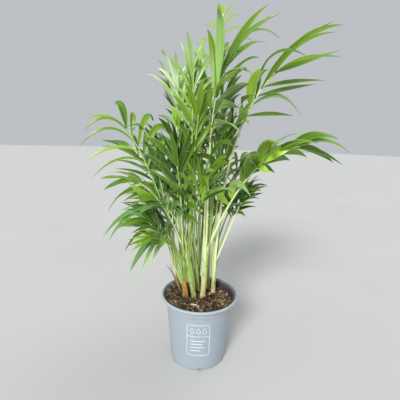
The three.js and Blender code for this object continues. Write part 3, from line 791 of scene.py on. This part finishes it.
tierHabit = dict(lean=5, light=50)
tierStray = {"heading": (-5, 5), "lean": (-3, 3), "climb": (-8, 8), "roll": (-35, 35)}
# the finer fronds' petioles take the darkest colour: painted shade low in the crown
finerHabit = dict(solid=False, stout=0.7, tone=2)
finerRule = {"lean": 6, "footSeed": 7, "leafSeed": 31, "seedStep": 101}
rib = {"foot": 0.85, "end": 0.6, "steps": 8, "apart": 1.85}
growth = {"lag": 0.35, "closing": 1.3, "short": 0.72, "swell": 0.34, "from": 0.18, "over": 0.72,
          "endWide": 1.2, "shorten": 0.35, "seed": 1009, "seedStep": 7919}
leafStray = {"spread": (-5, 5), "lift": (-6, 6), "length": (0.93, 1.05), "width": (0.9, 1.08),
             "droop": (0.75, 1.25)}
turning = {"away": 150, "share": 0.45}      # degrees off the front, and what is left of them nearer to it
ribSwings = [0, 5, -5, 10, -10, 15, -15]
ribLeans = [0, 5, -5, 10]
leafTries = [(0, 0), (8, 0), (-8, 0), (0, 10), (0, -10), (16, 0), (-16, 0), (10, 14), (-10, -14), (0, 24),
             (0, -24), (24, 10), (-24, 10)]
closeEnough = 0.02              # how near a corner of the solid has to be for a try to be the one taken


def shootLine(shoot):
    foot = Vector((shoot["foot"][0], shoot["foot"][1], soil["top"]))
    tip = Vector(shoot["tip"])
    return foot, tip, (tip - foot).normalized()


def setFeet(name, rows):        # places on a shoot's tip where its fronds start
    own = [row for row in rows if row["shoot"] == name]
    pull = sum((pointing(row["heading"], 90) for row in own), Vector())
    middle = degrees(atan2(pull.y, pull.x))
    _, tip, lean = shootLine(shoots[name])
    across, upward = axesRound(lean)
    radius = rib["apart"] / 2 / sin(pi / len(own)) if len(own) > 1 else 0
    own.sort(key=lambda row: (row["heading"] - middle + 180) % 360)
    for k, row in enumerate(own):
        angle = radians(middle + 360 / len(own) * (k - (len(own) - 1) / 2))
        row["axis"] = tip + lean * seatGap
        row["foot"] = row["axis"] + spoke(across, upward, angle, radius)


def facingOf(heading):          # a back frond faces away from the front, and all others turn towards it
    turn = (heading + 90 + 180) % 360 - 180
    return heading if abs(turn) > turning["away"] else -90 + turn * turning["share"]


def tierFronds(group, seed):
    draw = dice(seed)
    rows = []
    for tier in group:
        for k, (shoot, tint) in enumerate(zip(tier["shoots"], tier["tints"])):
            even = lerp(tier["start"], tier["end"], (k + 0.5) / len(tier["shoots"]))
            # fronds at the back take the darkest petiole colour, tone 2: painted shade
            rows.append(dict(
                name=f"{tier['name']}_{k + 1}", shoot=shoot, tint=tint,
                heading=even + draw(*tierStray["heading"]),
                reach=draw(*tier["reach"]), rise=draw(*tier["rise"]),
                lean=tierHabit["lean"] + draw(*tierStray["lean"]),
                climb=tier["climb"] + draw(*tierStray["climb"]),
                leaf=draw(*tier["leaf"]), roll=draw(*tierStray["roll"]),
                wide=tier.get("wide", habit["wide"]), slim=tier.get("slim", habit["slim"]),
                light=tierHabit["light"], facing=facingOf(even), tone=1 if even < 0 or even > 150 else 2))
    return rows


def ribCurve(row, swing, lean):
    heading = row["heading"] + swing
    foot = row["foot"]
    out = pointing(heading, 90) * row["reach"]
    tip = Vector((foot.x + out.x, foot.y + out.y, row["rise"]))
    chord = (tip - foot).length
    leave = pointing(heading, row["lean"] + lean) * (chord * row["pull"] / 3)
    arrive = pointing(heading, 90 - row["climb"]) * (chord * row["bow"] / 3)
    return foot, foot + leave, tip - arrive, tip


def curvePoint(curve, t):
    a, b, c, d = curve
    return a * (1 - t) ** 3 + b * (3 * t * (1 - t) ** 2) + c * (3 * t * t * (1 - t)) + d * t ** 3


def curveAlong(curve, t):
    a, b, c, d = curve
    return ((b - a) * (1 - t) ** 2 + (c - b) * (2 * t * (1 - t)) + (d - c) * t ** 2).normalized()


def bladeFrame(curve, turned, roll, t):
    along = curveAlong(curve, t)
    across = square(along, pointing(turned + 90, 90))
    face = along.cross(across)
    turn = radians(roll)
    return along, spoke(across, face, turn), spoke(face, -across, turn)


def cornersOf(node):            # the solid's corners, to look places up in
    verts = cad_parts[node].data.vertices
    tree = KDTree(len(verts))
    for k, vert in enumerate(verts):
        tree.insert(vert.co / mm, k)
    tree.balance()
    return tree


def layRib(row, corners):       # the rib takes the try that its solid shows
    row["matched"] = -1
    for lean in ribLeans:
        for swing in ribSwings:
            curve = ribCurve(row, swing, lean)
            turned = row["heading"] + swing
            found = 0
            for k in range(rib["steps"] + 1):
                t = k / rib["steps"]
                _, across, face = bladeFrame(curve, turned, 0, t)
                radius = lerp(rib["foot"], rib["end"], t)
                for corner in range(4):
                    angle = (corner + 0.5) * pi / 2
                    spot = curvePoint(curve, t) + spoke(across, face, angle, radius)
                    found += corners.find(spot)[2] < closeEnough
            if found > row["matched"]:
                row.update(matched=found, curve=curve, turned=turned)


def leafletsOf(row, seed):
    draw = dice(seed)
    leaflets = []
    for k in range(row["pairs"]):
        for side in (1, -1):
            last = k == row["pairs"] - 1
            u = 1 if last else (k + (0 if side > 0 else growth["lag"])) / (row["pairs"] - 1)
            share = lerp(row["bare"], 1, u)
            swell = growth["swell"] * sin(pi * (growth["from"] + growth["over"] * u))
            leaflets.append({
                "side": side,
                "pair": k,
                "share": share,
                "root": curvePoint(row["curve"], share),
                "frame": bladeFrame(row["curve"], row["turned"], row["roll"], share),
                "spread": (lerp(row["spread"], row["tight"], u ** growth["closing"])
                           + draw(*leafStray["spread"])),
                "lift": row["lift"] + draw(*leafStray["lift"]),
                "length": row["leaf"] * (growth["short"] + swell) * draw(*leafStray["length"]),
                "width": row["wide"] * (growth["endWide"] if last else 1) * draw(*leafStray["width"]),
                "droop": row["droop"] * draw(*leafStray["droop"]),
            })
    return leaflets


def leafletRun(row, leaflet, swing, lift):
    along, across, face = leaflet["frame"]
    opened = radians(leaflet["spread"] + swing)
    raised = radians(leaflet["lift"] + lift)
    aim = (along * cos(opened) + across * (leaflet["side"] * sin(opened) * cos(raised))
           + face * (sin(opened) * sin(raised))).normalized()
    shorten = 1 / (1 + growth["shorten"] * leaflet["droop"] ** 2)
    length = leaflet["length"]

    def run(s):
        return (leaflet["root"] + aim * (length * s * shorten) + along * (length * row["fore"] * s * s)
                - skyward * (length * leaflet["droop"] * s * s))

    return run


def growRows():
    fronds = shownFronds + tierFronds(tiers, tierSeed) + tierFronds(smallTiers, smallSeed)
    rows = [{**habit, **row} for row in fronds]
    for name in shoots:
        setFeet(name, rows)
    grown = 0
    for k, row in enumerate(rows):
        row["solid"] = True
        corners = cornersOf(row["name"])
        layRib(row, corners)
        row["leaflets"] = []
        for leaflet in leafletsOf(row, growth["seed"] + growth["seedStep"] * k):
            for swing, lift in leafTries:
                run = leafletRun(row, leaflet, swing, lift)
                if corners.find(run(1))[2] < closeEnough:
                    leaflet["run"] = run
                    row["leaflets"].append(leaflet)
                    break
        grown += len(row["leaflets"])
    print("rule followed:", len(rows), "fronds,", grown, "leaflets, weakest rib match",
          min(row["matched"] for row in rows), "of 36 corners")
    return rows


def growFiner(tier):            # the same rule, with the foot lower on the shoot and no solid to agree with
    draw = dice(tier["seed"] * finerRule["footSeed"] + 1)
    rows = [{**habit, **row, **finerHabit} for row in tierFronds([tier], tier["seed"])]
    for k, row in enumerate(rows):
        shoot = shoots[row["shoot"]]
        foot, tip, lean = shootLine(shoot)
        share = draw(*tier["low"])
        row["axis"] = foot.lerp(tip, share)
        out = square(lean, pointing(row["heading"], 90))
        row["foot"] = row["axis"] + out * lerp(shoot["low"], shoot["high"], share)
        row["curve"] = ribCurve(row, 0, finerRule["lean"])
        row["turned"] = row["heading"]
        row["leaflets"] = leafletsOf(row, tier["seed"] * finerRule["leafSeed"] + finerRule["seedStep"] * k)
        for leaflet in row["leaflets"]:
            leaflet["run"] = leafletRun(row, leaflet, 0, 0)
    return rows


# Single leaflets that open low on a petiole and fold over: share of the rib, and the way the blade takes.
# They are bright where no tint is given.
curls = [
    dict(row="frond_right_high", share=0.73, way=[(-1.5, -5, 3), (-3.5, -10, 6), (-5.5, -14, 9)], wide=7.4),
    dict(row="frond_right_high", share=0.8, way=[(-2.5, -3, 9), (-1, -6, 22), (6, -7, 28)], wide=7.4,
         tint="young"),
    dict(row="frond_left_fan", share=0.46, way=[(-5, -14, 4), (-12, -26, 13), (-20, -32, 22)], wide=6.2),
    dict(row="frond_right_high", share=0.735, way=[(1, -2, -1), (2, -2, -2), (3.4, -2, -4)], wide=3.2),
    dict(row="frond_right_broad", share=0.4, way=[(-3, -3, 11), (1, -6, 21), (13.4, -7, 2.6)], wide=6.6,
         tint="pale"),
    dict(row="frond_right_broad", share=0.39, way=[(-1, -2, 4), (-2, -3, 8), (-1.5, -3, 12)], wide=5.4),
    dict(row="frond_right_broad", share=0.35, way=[(-5, -3, 5), (-16, -6, 14), (-7, -7, 15.5)], wide=5.4),
    dict(row="frond_right_broad", share=0.66, way=[(2, -5, -0.5), (5, -7, -1.5), (9, -7, -3.5)], wide=5.6),
    dict(row="frond_right_broad", share=0.68, way=[(9, -4, 8), (20, -6, 17), (32, -7, 19)], wide=7.4),
    dict(row="frond_right_broad", share=0.5, way=[(0, -3, 9), (3, -5, 20), (11, -6, 26)], wide=9,
         tint="fresh"),
    dict(row="frond_right_broad", share=0.6, way=[(2, -3, 9), (8, -5, 21), (18, -6, 22)], wide=8.4,
         tint="fresh"),
    dict(row="frond_left_upright", share=0.79, way=[(-1, -2, 4), (-2, -4, 8), (-3.5, -5, 13)], wide=4.4),
    dict(row="frond_left_upright", share=0.77, way=[(1, -3, 4), (2, -5, 8), (3.5, -6, 12)], wide=4.2),
    dict(row="frond_small_middle_1", share=0.97, way=[(-2, -3, 3), (-5, -5, 6), (-8, -6, 7)], wide=4.6),
]
curlHabit = dict(light=74, sky=0.95, slim=1, solid=False, tint="bright")


def growCurls(rows):
    grown = []
    for curl in curls:
        row = next(row for row in rows if row["name"] == curl["row"])
        root = curvePoint(row["curve"], curl["share"])
        curve = [root] + [root + Vector(step) for step in curl["way"]]
        leaflet = {"side": 1, "pair": 0, "run": lambda s, curve=curve: curvePoint(curve, s), "length": 4,
                   "width": curl["wide"],
                   "frame": bladeFrame(row["curve"], row["turned"], row["roll"], curl["share"])}
        folded = {**habit, **curlHabit, **curl}
        grown.append({**folded, "picked": {(0, 1): folded["tint"]}, "leaflets": [leaflet]})
    return grown


rows = growRows()
for tier in finerTiers:
    rows += growFiner(tier)
print("finer fronds:", sum(not row["solid"] for row in rows))
folded = growCurls(rows)


# Shoots: sheath over sheath, with rings, oblique mouths and the bases of the petioles.

shootLook = {"around": 28, "stepsPerMm": 1.44, "ridge": 0.06, "rim": 0.26, "fade": 12, "slim": 0.86,
             "base": 0.45, "baseFade": 5, "narrow": 0.16, "narrowFrom": 0.75, "sunk": 2.5,
             "sway": (-0.5, 0.5), "firstMouth": (6, 11), "mouthGap": (7, 15), "mouthSlant": (0.6, 2.6),
             "mouthless": 5, "colourRise": (50, 110), "stainFall": (52, 66), "stain": "#7a5c38",
             # the last and darkest colours are for the shoots at the back: painted shade inside the clump
             "tonesToShade": [("#dfd294", "#c2d286", "#a8c869"), ("#b4c672", "#9abb5c", "#82ac45"),
                       ("#94a656", "#72993c", "#5f8930")],      # at the ground, halfway and at the top
             "fleck": "#5f5a2a", "seed": 8123}


def shootMaterial(name, tone):
    shader = Shader(name)
    streak = shader.grain(420, 4, (1, 1, 0.06))
    stops = [(0, paint(tone[0])), (0.45, paint(tone[1])), (1, paint(tone[2]))]
    colour = shader.ramp(shader.rise(*shootLook["colourRise"]) + (streak - 0.5) * 0.5, stops)
    fleck = shader.span(shader.specks(430, (1, 1, 0.35)), 0.2, 0.3, 1, 0)
    fleck *= shader.span(shader.grain(120, 2), 0.45, 0.6) * 0.75
    colour = shader.blend(fleck, colour, paint(shootLook["fleck"]))
    stain = shader.rise(*shootLook["stainFall"], 1, 0)
    stain *= shader.span(shader.grain(300, 3, (1, 1, 0.4)), 0.42, 0.6) * 0.8
    colour = shader.blend(stain, colour, paint(shootLook["stain"]))
    rough = shader.span(streak, 0.3, 0.7, 0.38, 0.52)
    bump = shader.bump(streak, 0.35, 0.3)
    return shader.finish({"Base Color": colour, "Roughness": rough, "Normal": bump})


def shootRings(shoot, draw):
    foot, tip, lean = shootLine(shoot)
    foot.z = soilHeight(foot.x, foot.y) - shootLook["sunk"]
    length = (tip - foot).length
    steps = round(length * shootLook["stepsPerMm"])
    across, upward = axesRound(lean)
    sway = across * draw(*shootLook["sway"]) + upward * draw(*shootLook["sway"])
    mouths = []
    height = draw(*shootLook["firstMouth"])
    while height < length - shootLook["mouthless"]:
        mouths.append((height, draw(0, tau), draw(*shootLook["mouthSlant"])))
        height += draw(*shootLook["mouthGap"])
    phase = draw(0, 50)
    rings = []
    for k in range(steps + 1):
        t = k / steps
        along = t * length
        core = lerp(shoot["low"], shoot["high"], t) * shootLook["slim"]
        core += shootLook["base"] * exp(-along / shootLook["baseFade"])
        ending = smooth((t - shootLook["narrowFrom"]) / (1 - shootLook["narrowFrom"]))
        core *= 1 - shootLook["narrow"] * ending

        def radius(angle, along=along, core=core):
            spot = Vector((cos(angle) * 5, sin(angle) * 5, phase + along / 30))
            reach = core + shootLook["ridge"] * noise.noise(spot)
            for height, turn, slant in mouths:
                below = height + slant * cos(angle - turn) - along
                if below >= 0:
                    reach += shootLook["rim"] * exp(-below / shootLook["fade"]) * smooth(below / 0.5)
                    break
            return reach

        rings.append((foot.lerp(tip, t) + sway * sin(pi * t), across, upward, radius))
    return rings


def makeShoots():
    draw = dice(shootLook["seed"])
    bm = bmesh.new()
    for shoot in shoots.values():
        start = len(bm.faces)
        tube(bm, shootLook["around"], shootRings(shoot, draw))
        colourFrom(bm, start, shoot["tone"])
    materials = [shootMaterial(f"sheath{k}", tone) for k, tone in enumerate(shootLook["tonesToShade"])]
    makePiece("shoots", bm, materials, [shoot["node"] for shoot in shoots.values()])


# Dead pieces at the foot of the clump: foot, tip, radius at each, how flat, and their frayed ends.

dryPieces = {
    "sheath_dry": dict(foot=(-10.6, -1.6), tip=(-13.6, -2.9, 69), low=1.8, high=1.2, flat=0.5, reach=1,
                       ends=4, fray=5, colours=("#94582f", "#e39a5c")),
    "twig_dry": dict(foot=(-15.4, 8.4), tip=(-27.6, 8, 77.4), low=1.4, high=0.9, flat=0.5, reach=0.8,
                     ends=8, fray=7, colours=("#5f4030", "#b98b68")),
    "sheath_olive": dict(foot=(-5.4, 6.4), tip=(-8.6, 6.4, 90.5), low=1.2, high=0.7, flat=0.6, reach=1,
                         ends=2, fray=6, colours=("#5d4a28", "#9a8650")),
}
dryLook = {"around": 14, "steps": 48, "sunk": 2, "curl": 0.7, "knobbly": 0.22, "bow": 0.5,
           "endAround": 6, "endSteps": 6, "endFrom": 4, "endReach": (0.6, 1), "endOut": (0.2, 0.35),
           "endThick": (0.16, 0.3), "endThinning": 0.7, "dusty": (52, 60), "seed": 6007, "seedStep": 31}


def dryMaterial(name, colours):
    shader = Shader(name)
    streak = shader.grain(700, 5, (1, 1, 0.08), 0.65)
    colour = shader.blend(shader.span(streak, 0.35, 0.65), paint(colours[0]), paint(colours[1]))
    dark = shader.span(shader.grain(240, 3), 0.56, 0.7)
    colour = shader.blend(dark * 0.6, colour, paint(colours[0], 0.5))
    colour = shader.blend(shader.rise(*dryLook["dusty"], 0.75, 0), colour, paint(soil["dark"], 2))
    return shader.finish({"Base Color": colour, "Roughness": 0.75, "Normal": shader.bump(streak, 0.6, 0.4)})


def dryRings(dry, foot, tip, axes, phase):
    rings = []
    for step in range(dryLook["steps"] + 1):
        t = step / dryLook["steps"]
        size = lerp(dry["low"], dry["high"], t) * (1.1 - 0.35 * smooth((t - 0.8) / 0.2))

        def radius(angle, t=t, size=size):
            spot = Vector((cos(angle) * 3, sin(angle) * 3, phase + t * 9))
            curl = 1 - (1 - dry["flat"]) * abs(sin(angle + t * dryLook["curl"]))
            return size * curl * (1 + dryLook["knobbly"] * noise.noise(spot))

        rings.append((foot.lerp(tip, t) + axes[0] * (sin(pi * t) * dryLook["bow"]), *axes, radius))
    return rings


def addFray(bm, dry, tip, lean, axes, draw):    # one of the frayed ends
    start, spread = dryLook["endOut"]
    out = spoke(*axes, draw(0, tau))
    reach = dry["fray"] * draw(*dryLook["endReach"])
    points = []
    for step in range(dryLook["endSteps"] + 1):
        t = step / dryLook["endSteps"]
        back = dryLook["endFrom"] - (dryLook["endFrom"] + reach) * t
        points.append(tip - lean * back + out * (start + reach * spread * t * t))
    thick = draw(*dryLook["endThick"])
    rings = pathRings(points, lambda t: thick * (1 - dryLook["endThinning"] * t))
    tube(bm, dryLook["endAround"], rings)


def makeDryPieces():
    for k, (name, dry) in enumerate(dryPieces.items()):
        draw = dice(dryLook["seed"] + dryLook["seedStep"] * k)
        foot, tip, lean = shootLine(dry)
        tip = foot.lerp(tip, dry["reach"])
        foot.z = soilHeight(foot.x, foot.y) - dryLook["sunk"]
        axes = axesRound(lean)
        bm = bmesh.new()
        tube(bm, dryLook["around"], dryRings(dry, foot, tip, axes, draw(0, 60)))
        for _ in range(dry["ends"]):
            addFray(bm, dry, tip, lean, axes, draw)
        makePiece(f"{name}_worn", bm, [dryMaterial(name + "Brown", dry["colours"])], [name])


# Petioles and ribs.

ribLook = {"around": 12, "steps": 46, "below": (9, 30), "belowSteps": 14, "base": 0.9375, "inset": 0.55,
           "buried": 0.75, "swell": 0.22, "swellSharp": 90, "narrow": 0.3, "groove": 0.16, "tip": 1.2,
           "tipRadius": 0.18, "colourRise": (90, 240),
           # petiole colours at the foot and at the top: the first, near white, is brightened as a painted
           # highlight for the fronds in front; the last, darkest, is painted shade for those at the back and
           # low in the crown
           "tonesToShade": [("#eaf2b8", "#d9eb9e"), ("#c3d883", "#9dc356"), ("#94b254", "#6a9434")],
           "fleck": "#6c7a34", "seed": 5309}


def ribMaterial(name, tone):
    shader = Shader(name)
    share = shader.rise(*ribLook["colourRise"]) + (shader.grain(60, 3) - 0.5) * 0.6
    colour = shader.blend(share, paint(tone[0]), paint(tone[1]))
    fleck = shader.span(shader.specks(430, (1, 1, 0.5)), 0.14, 0.24, 1, 0)
    fleck *= shader.span(shader.grain(90, 2), 0.45, 0.6) * 0.7
    colour = shader.blend(fleck, colour, paint(ribLook["fleck"]))
    bump = shader.bump(shader.grain(900, 3, (1, 1, 0.15)), 0.3, 0.2)
    return shader.finish({"Base Color": colour, "Roughness": 0.42, "Normal": bump})


def addRib(bm, row, draw):
    shoot = shoots[row["shoot"]]
    foot, tip, lean = shootLine(shoot)
    out = row["foot"] - row["axis"]
    side = out.normalized() if out.length > 0.05 else square(lean, pointing(row["turned"], 90))
    depth = draw(*ribLook["below"])
    points = []
    radii = []
    for k in range(ribLook["belowSteps"]):      # the base runs down the sheath and sinks into it
        t = k / ribLook["belowSteps"]
        core = lerp(shoot["high"], shoot["low"], (1 - t) * depth / (tip - foot).length)
        aside = lerp(core * ribLook["inset"], out.length, smooth(t))
        points.append(row["axis"] - lean * (depth * (1 - t)) + side * aside)
        size = lerp(ribLook["base"], rib["foot"] * row["stout"], smooth(t))
        radii.append(size * lerp(ribLook["buried"], 1, min(1, t * 3)))
    for k in range(ribLook["steps"] + 1):
        t = k / ribLook["steps"]
        points.append(curvePoint(row["curve"], t))
        near = [exp(-((t - leaflet["share"]) * ribLook["swellSharp"]) ** 2) for leaflet in row["leaflets"]]
        size = row["stout"] * lerp(rib["foot"], rib["end"], t)
        size *= 1 - ribLook["narrow"] * smooth((t - row["bare"]) / (1 - row["bare"]))
        radii.append(size * (1 + ribLook["swell"] * max(near, default=0)))
    points.append(points[-1] + curveAlong(row["curve"], 1) * ribLook["tip"])
    radii.append(ribLook["tipRadius"])

    def radiusAt(t):
        size = radii[round(t * (len(radii) - 1))]
        return lambda angle: size * (1 - ribLook["groove"] * max(0, sin(angle)) ** 4)

    tube(bm, ribLook["around"], pathRings(points, radiusAt, pointing(row["turned"] + 90, 90)))


def makeRibs(rows):
    draw = dice(ribLook["seed"])
    bm = bmesh.new()
    for row in rows:
        start = len(bm.faces)
        addRib(bm, row, draw)
        colourFrom(bm, start, row["tone"])
    materials = [ribMaterial(f"petiole{k}", tone) for k, tone in enumerate(ribLook["tonesToShade"])]
    makePiece("petioles", bm, materials, [row["name"] for row in rows if row["solid"]])


# Leaflets: folded along the middle, with veins bumped into their surface, and thick enough to have an edge.

leafLook = {"across": 4, "along": 13, "thick": 0.24, "fold": 0.38, "openFold": 0.2, "arch": 0.05,
            "wave": 0.07, "waves": (1.2, 2.6), "twist": 34, "untwisted": 0.25, "turn": 30, "tip": 20,
            "rootHalf": 0.4, "rootTo": 0.3, "peak": 0.86, "full": 1.05, "bend": 0.08, "arching": (0.0, 0.13),
            "near": 0.05, "apart": 1.3,     # the step its direction is read by, and its halves' wave shift
            "stray": 0.36, "strayUp": 0.198, "graded": 4, "crisp": 17, "seed": 2741, "midribAndHighlight": 0.4,
            "marginHighlight": 0.3, "marginHighlightColour": "#c4dc92", "roughness": 0.34, "underRoughness": 0.55}
tints = {                       # upper side, underside and slot of each group, the graded ones first
    "deep": ("#385d10", "#64834a", "leaf"),
    "green": ("#527b14", "#7b9c55", "leaf"),
    "fresh": ("#6b9118", "#8fac5a", "leaf"),
    "young": ("#86ad22", "#a5c06c", "young_leaf"),
    "pale": ("#8db35c", "#a2bd7c", "young_leaf"),
    "bright": ("#9bca38", "#b3d578", "young_leaf"),
    # cool and silver are greyer and whitish greens for leaves on the left: painted sheen
    "coolSheen": ("#62904a", "#8fae78", "leaf"),
    "silverSheen": ("#c0d6a4", "#c2d5ab", "young_leaf"),
}


def leafMaterial(name, code, rough):
    shader = Shader(name)
    blade = shader.node("ShaderNodeUVMap", {"uv_map": "blade"}, {}, "UV")
    across = shader.node("ShaderNodeSeparateXYZ", {}, {0: blade}, "X")
    fromMiddle = shader.node("ShaderNodeMath", {"operation": "ABSOLUTE"}, {0: across * 2 - 1})
    veins = shader.grain(1, 2, (24, 0.8, 1), place=blade)
    # a paler band along both edges: a painted highlight where the folded edges catch the light
    marginHighlight = shader.span(fromMiddle, 0.78, 1) * leafLook["marginHighlight"]
    # a paler line along the middle: partly the midrib's own paler colour, partly a painted highlight along
    # the fold
    midribAndHighlight = shader.span(fromMiddle, 0, 0.12, leafLook["midribAndHighlight"], 0)
    colour = shader.blend(shader.grain(45, 3), paint(code, 0.8), paint(code, 1.2))
    colour = shader.blend(shader.span(veins, 0.3, 0.46, 0.32, 0), colour, paint(code, 0.62))
    colour = shader.blend(shader.span(veins, 0.54, 0.7) * 0.34, colour, paint(code, 1.6))
    colour = shader.blend(marginHighlight, colour, paint(leafLook["marginHighlightColour"]))
    colour = shader.blend(midribAndHighlight, colour, paint(code, 1.7))
    bump = shader.bump(veins + shader.grain(800, 2) * 0.3, 0.12, 0.2)
    return shader.finish({"Base Color": colour, "Roughness": rough, "Normal": bump})


def sided(value, leaflet):      # one value for both sides of a frond, or a pair of them
    return value[leaflet["side"] < 0] if isinstance(value, tuple) else value


def addLeaflet(bm, row, leaflet, draw):
    run = leaflet["run"]
    heading = row["facing"] + draw(-1, 1) * leafLook["turn"]
    light = pointing(heading, sided(row["light"], leaflet) + draw(-1, 1) * leafLook["tip"])
    slim = sided(row["slim"], leaflet) * lerp(1, row["taper"], leaflet["pair"] / (row["pairs"] - 1))
    face = leaflet["frame"][2]
    facing = face * ((-1 if face.dot(light) < 0 else 1) * (1 - row["sky"])) + light * row["sky"]
    twist = radians(draw(-1, 1) * leafLook["twist"])
    phase = draw(0, tau)
    waves = draw(*leafLook["waves"])
    bend = draw(-1, 1) * leafLook["bend"] * leaflet["length"]
    arching = (draw(*leafLook["arching"]) + row["arching"]) * leaflet["length"] * 4
    stations = {}

    def bent(s):                # root and tip stay where the rule puts them, and the middle rises
        return run(s) + skyward * (arching * s * (1 - s))

    def station(s):
        along = (bent(s + leafLook["near"]) - bent(max(s - leafLook["near"], 0))).normalized()
        across = along.cross(facing).normalized()
        upward = across.cross(along)
        turn = twist * (s - leafLook["untwisted"])
        outline = max(sin(pi * min(s, 1) ** leafLook["peak"]), 0) ** leafLook["full"]
        half = slim * leaflet["width"] / 2 * outline
        if s < leafLook["rootTo"]:
            half = max(half, leafLook["rootHalf"])
        fold = lerp(leafLook["fold"], leafLook["openFold"], smooth(s * 1.4))
        centre = bent(s) + upward * (bend * sin(pi * s))
        return centre, spoke(across, upward, turn), spoke(upward, -across, turn), half, fold

    def place(a, s):
        key = round(s, 4)
        if key not in stations:
            stations[key] = station(s)
        centre, across, upward, half, fold = stations[key]
        side = abs(a)
        swing = tau * s * waves + phase + (leafLook["apart"] if a > 0 else 0)
        wave = leafLook["wave"] * side * side * sin(swing)
        rise = half * (fold * side + leafLook["arch"] * sin(pi * side) + wave)
        return centre + across * (a * half) + upward * rise

    made = layGrid(bm, leafLook["across"], leafLook["along"], place)
    weld(bm, [vert for vert in made if vert.is_boundary])


def tintOf(row, leaflet, draw): # a leaflet has its frond's tint, or now and then the next one
    stray = draw(0, 1)
    picked = row["picked"].get((leaflet["pair"], leaflet["side"]))
    if picked:
        return picked
    shades = list(tints)
    k = shades.index(row["tint"])
    if stray < leafLook["stray"] and k < leafLook["graded"]:
        k = min(max(k + (1 if stray < leafLook["strayUp"] else -1), 0), leafLook["graded"] - 1)
    return shades[k]


def makeLeaves(rows):
    draw = dice(leafLook["seed"])
    sheets = {tint: bmesh.new() for tint in tints}
    for bm in sheets.values():
        bm.loops.layers.uv.new("blade")
    for row in rows:
        for leaflet in row["leaflets"]:
            addLeaflet(sheets[tintOf(row, leaflet, draw)], row, leaflet, draw)
    for tint, (upper, under, slot) in tints.items():
        solids = [row["name"] for row in rows if row["tint"] == tint and row["solid"]]
        materials = [leafMaterial(f"{tint}Leaf", upper, leafLook["roughness"]),
                     leafMaterial(f"{tint}Underside", under, leafLook["underRoughness"])]
        piece = makePiece(f"leaflets_{tint}", sheets[tint], materials, solids)
        shell = piece.modifiers.new("thickness", "SOLIDIFY")
        shell.thickness = leafLook["thick"] * mm
        shell.offset = -1
        shell.material_offset = 1
        settle(piece, leafLook["crisp"])        # the midrib and the rim are crisp


makeShoots()
makeDryPieces()
print("shoots and dead pieces made")
makeRibs(rows)
makeLeaves(rows + folded)
print("fronds made")
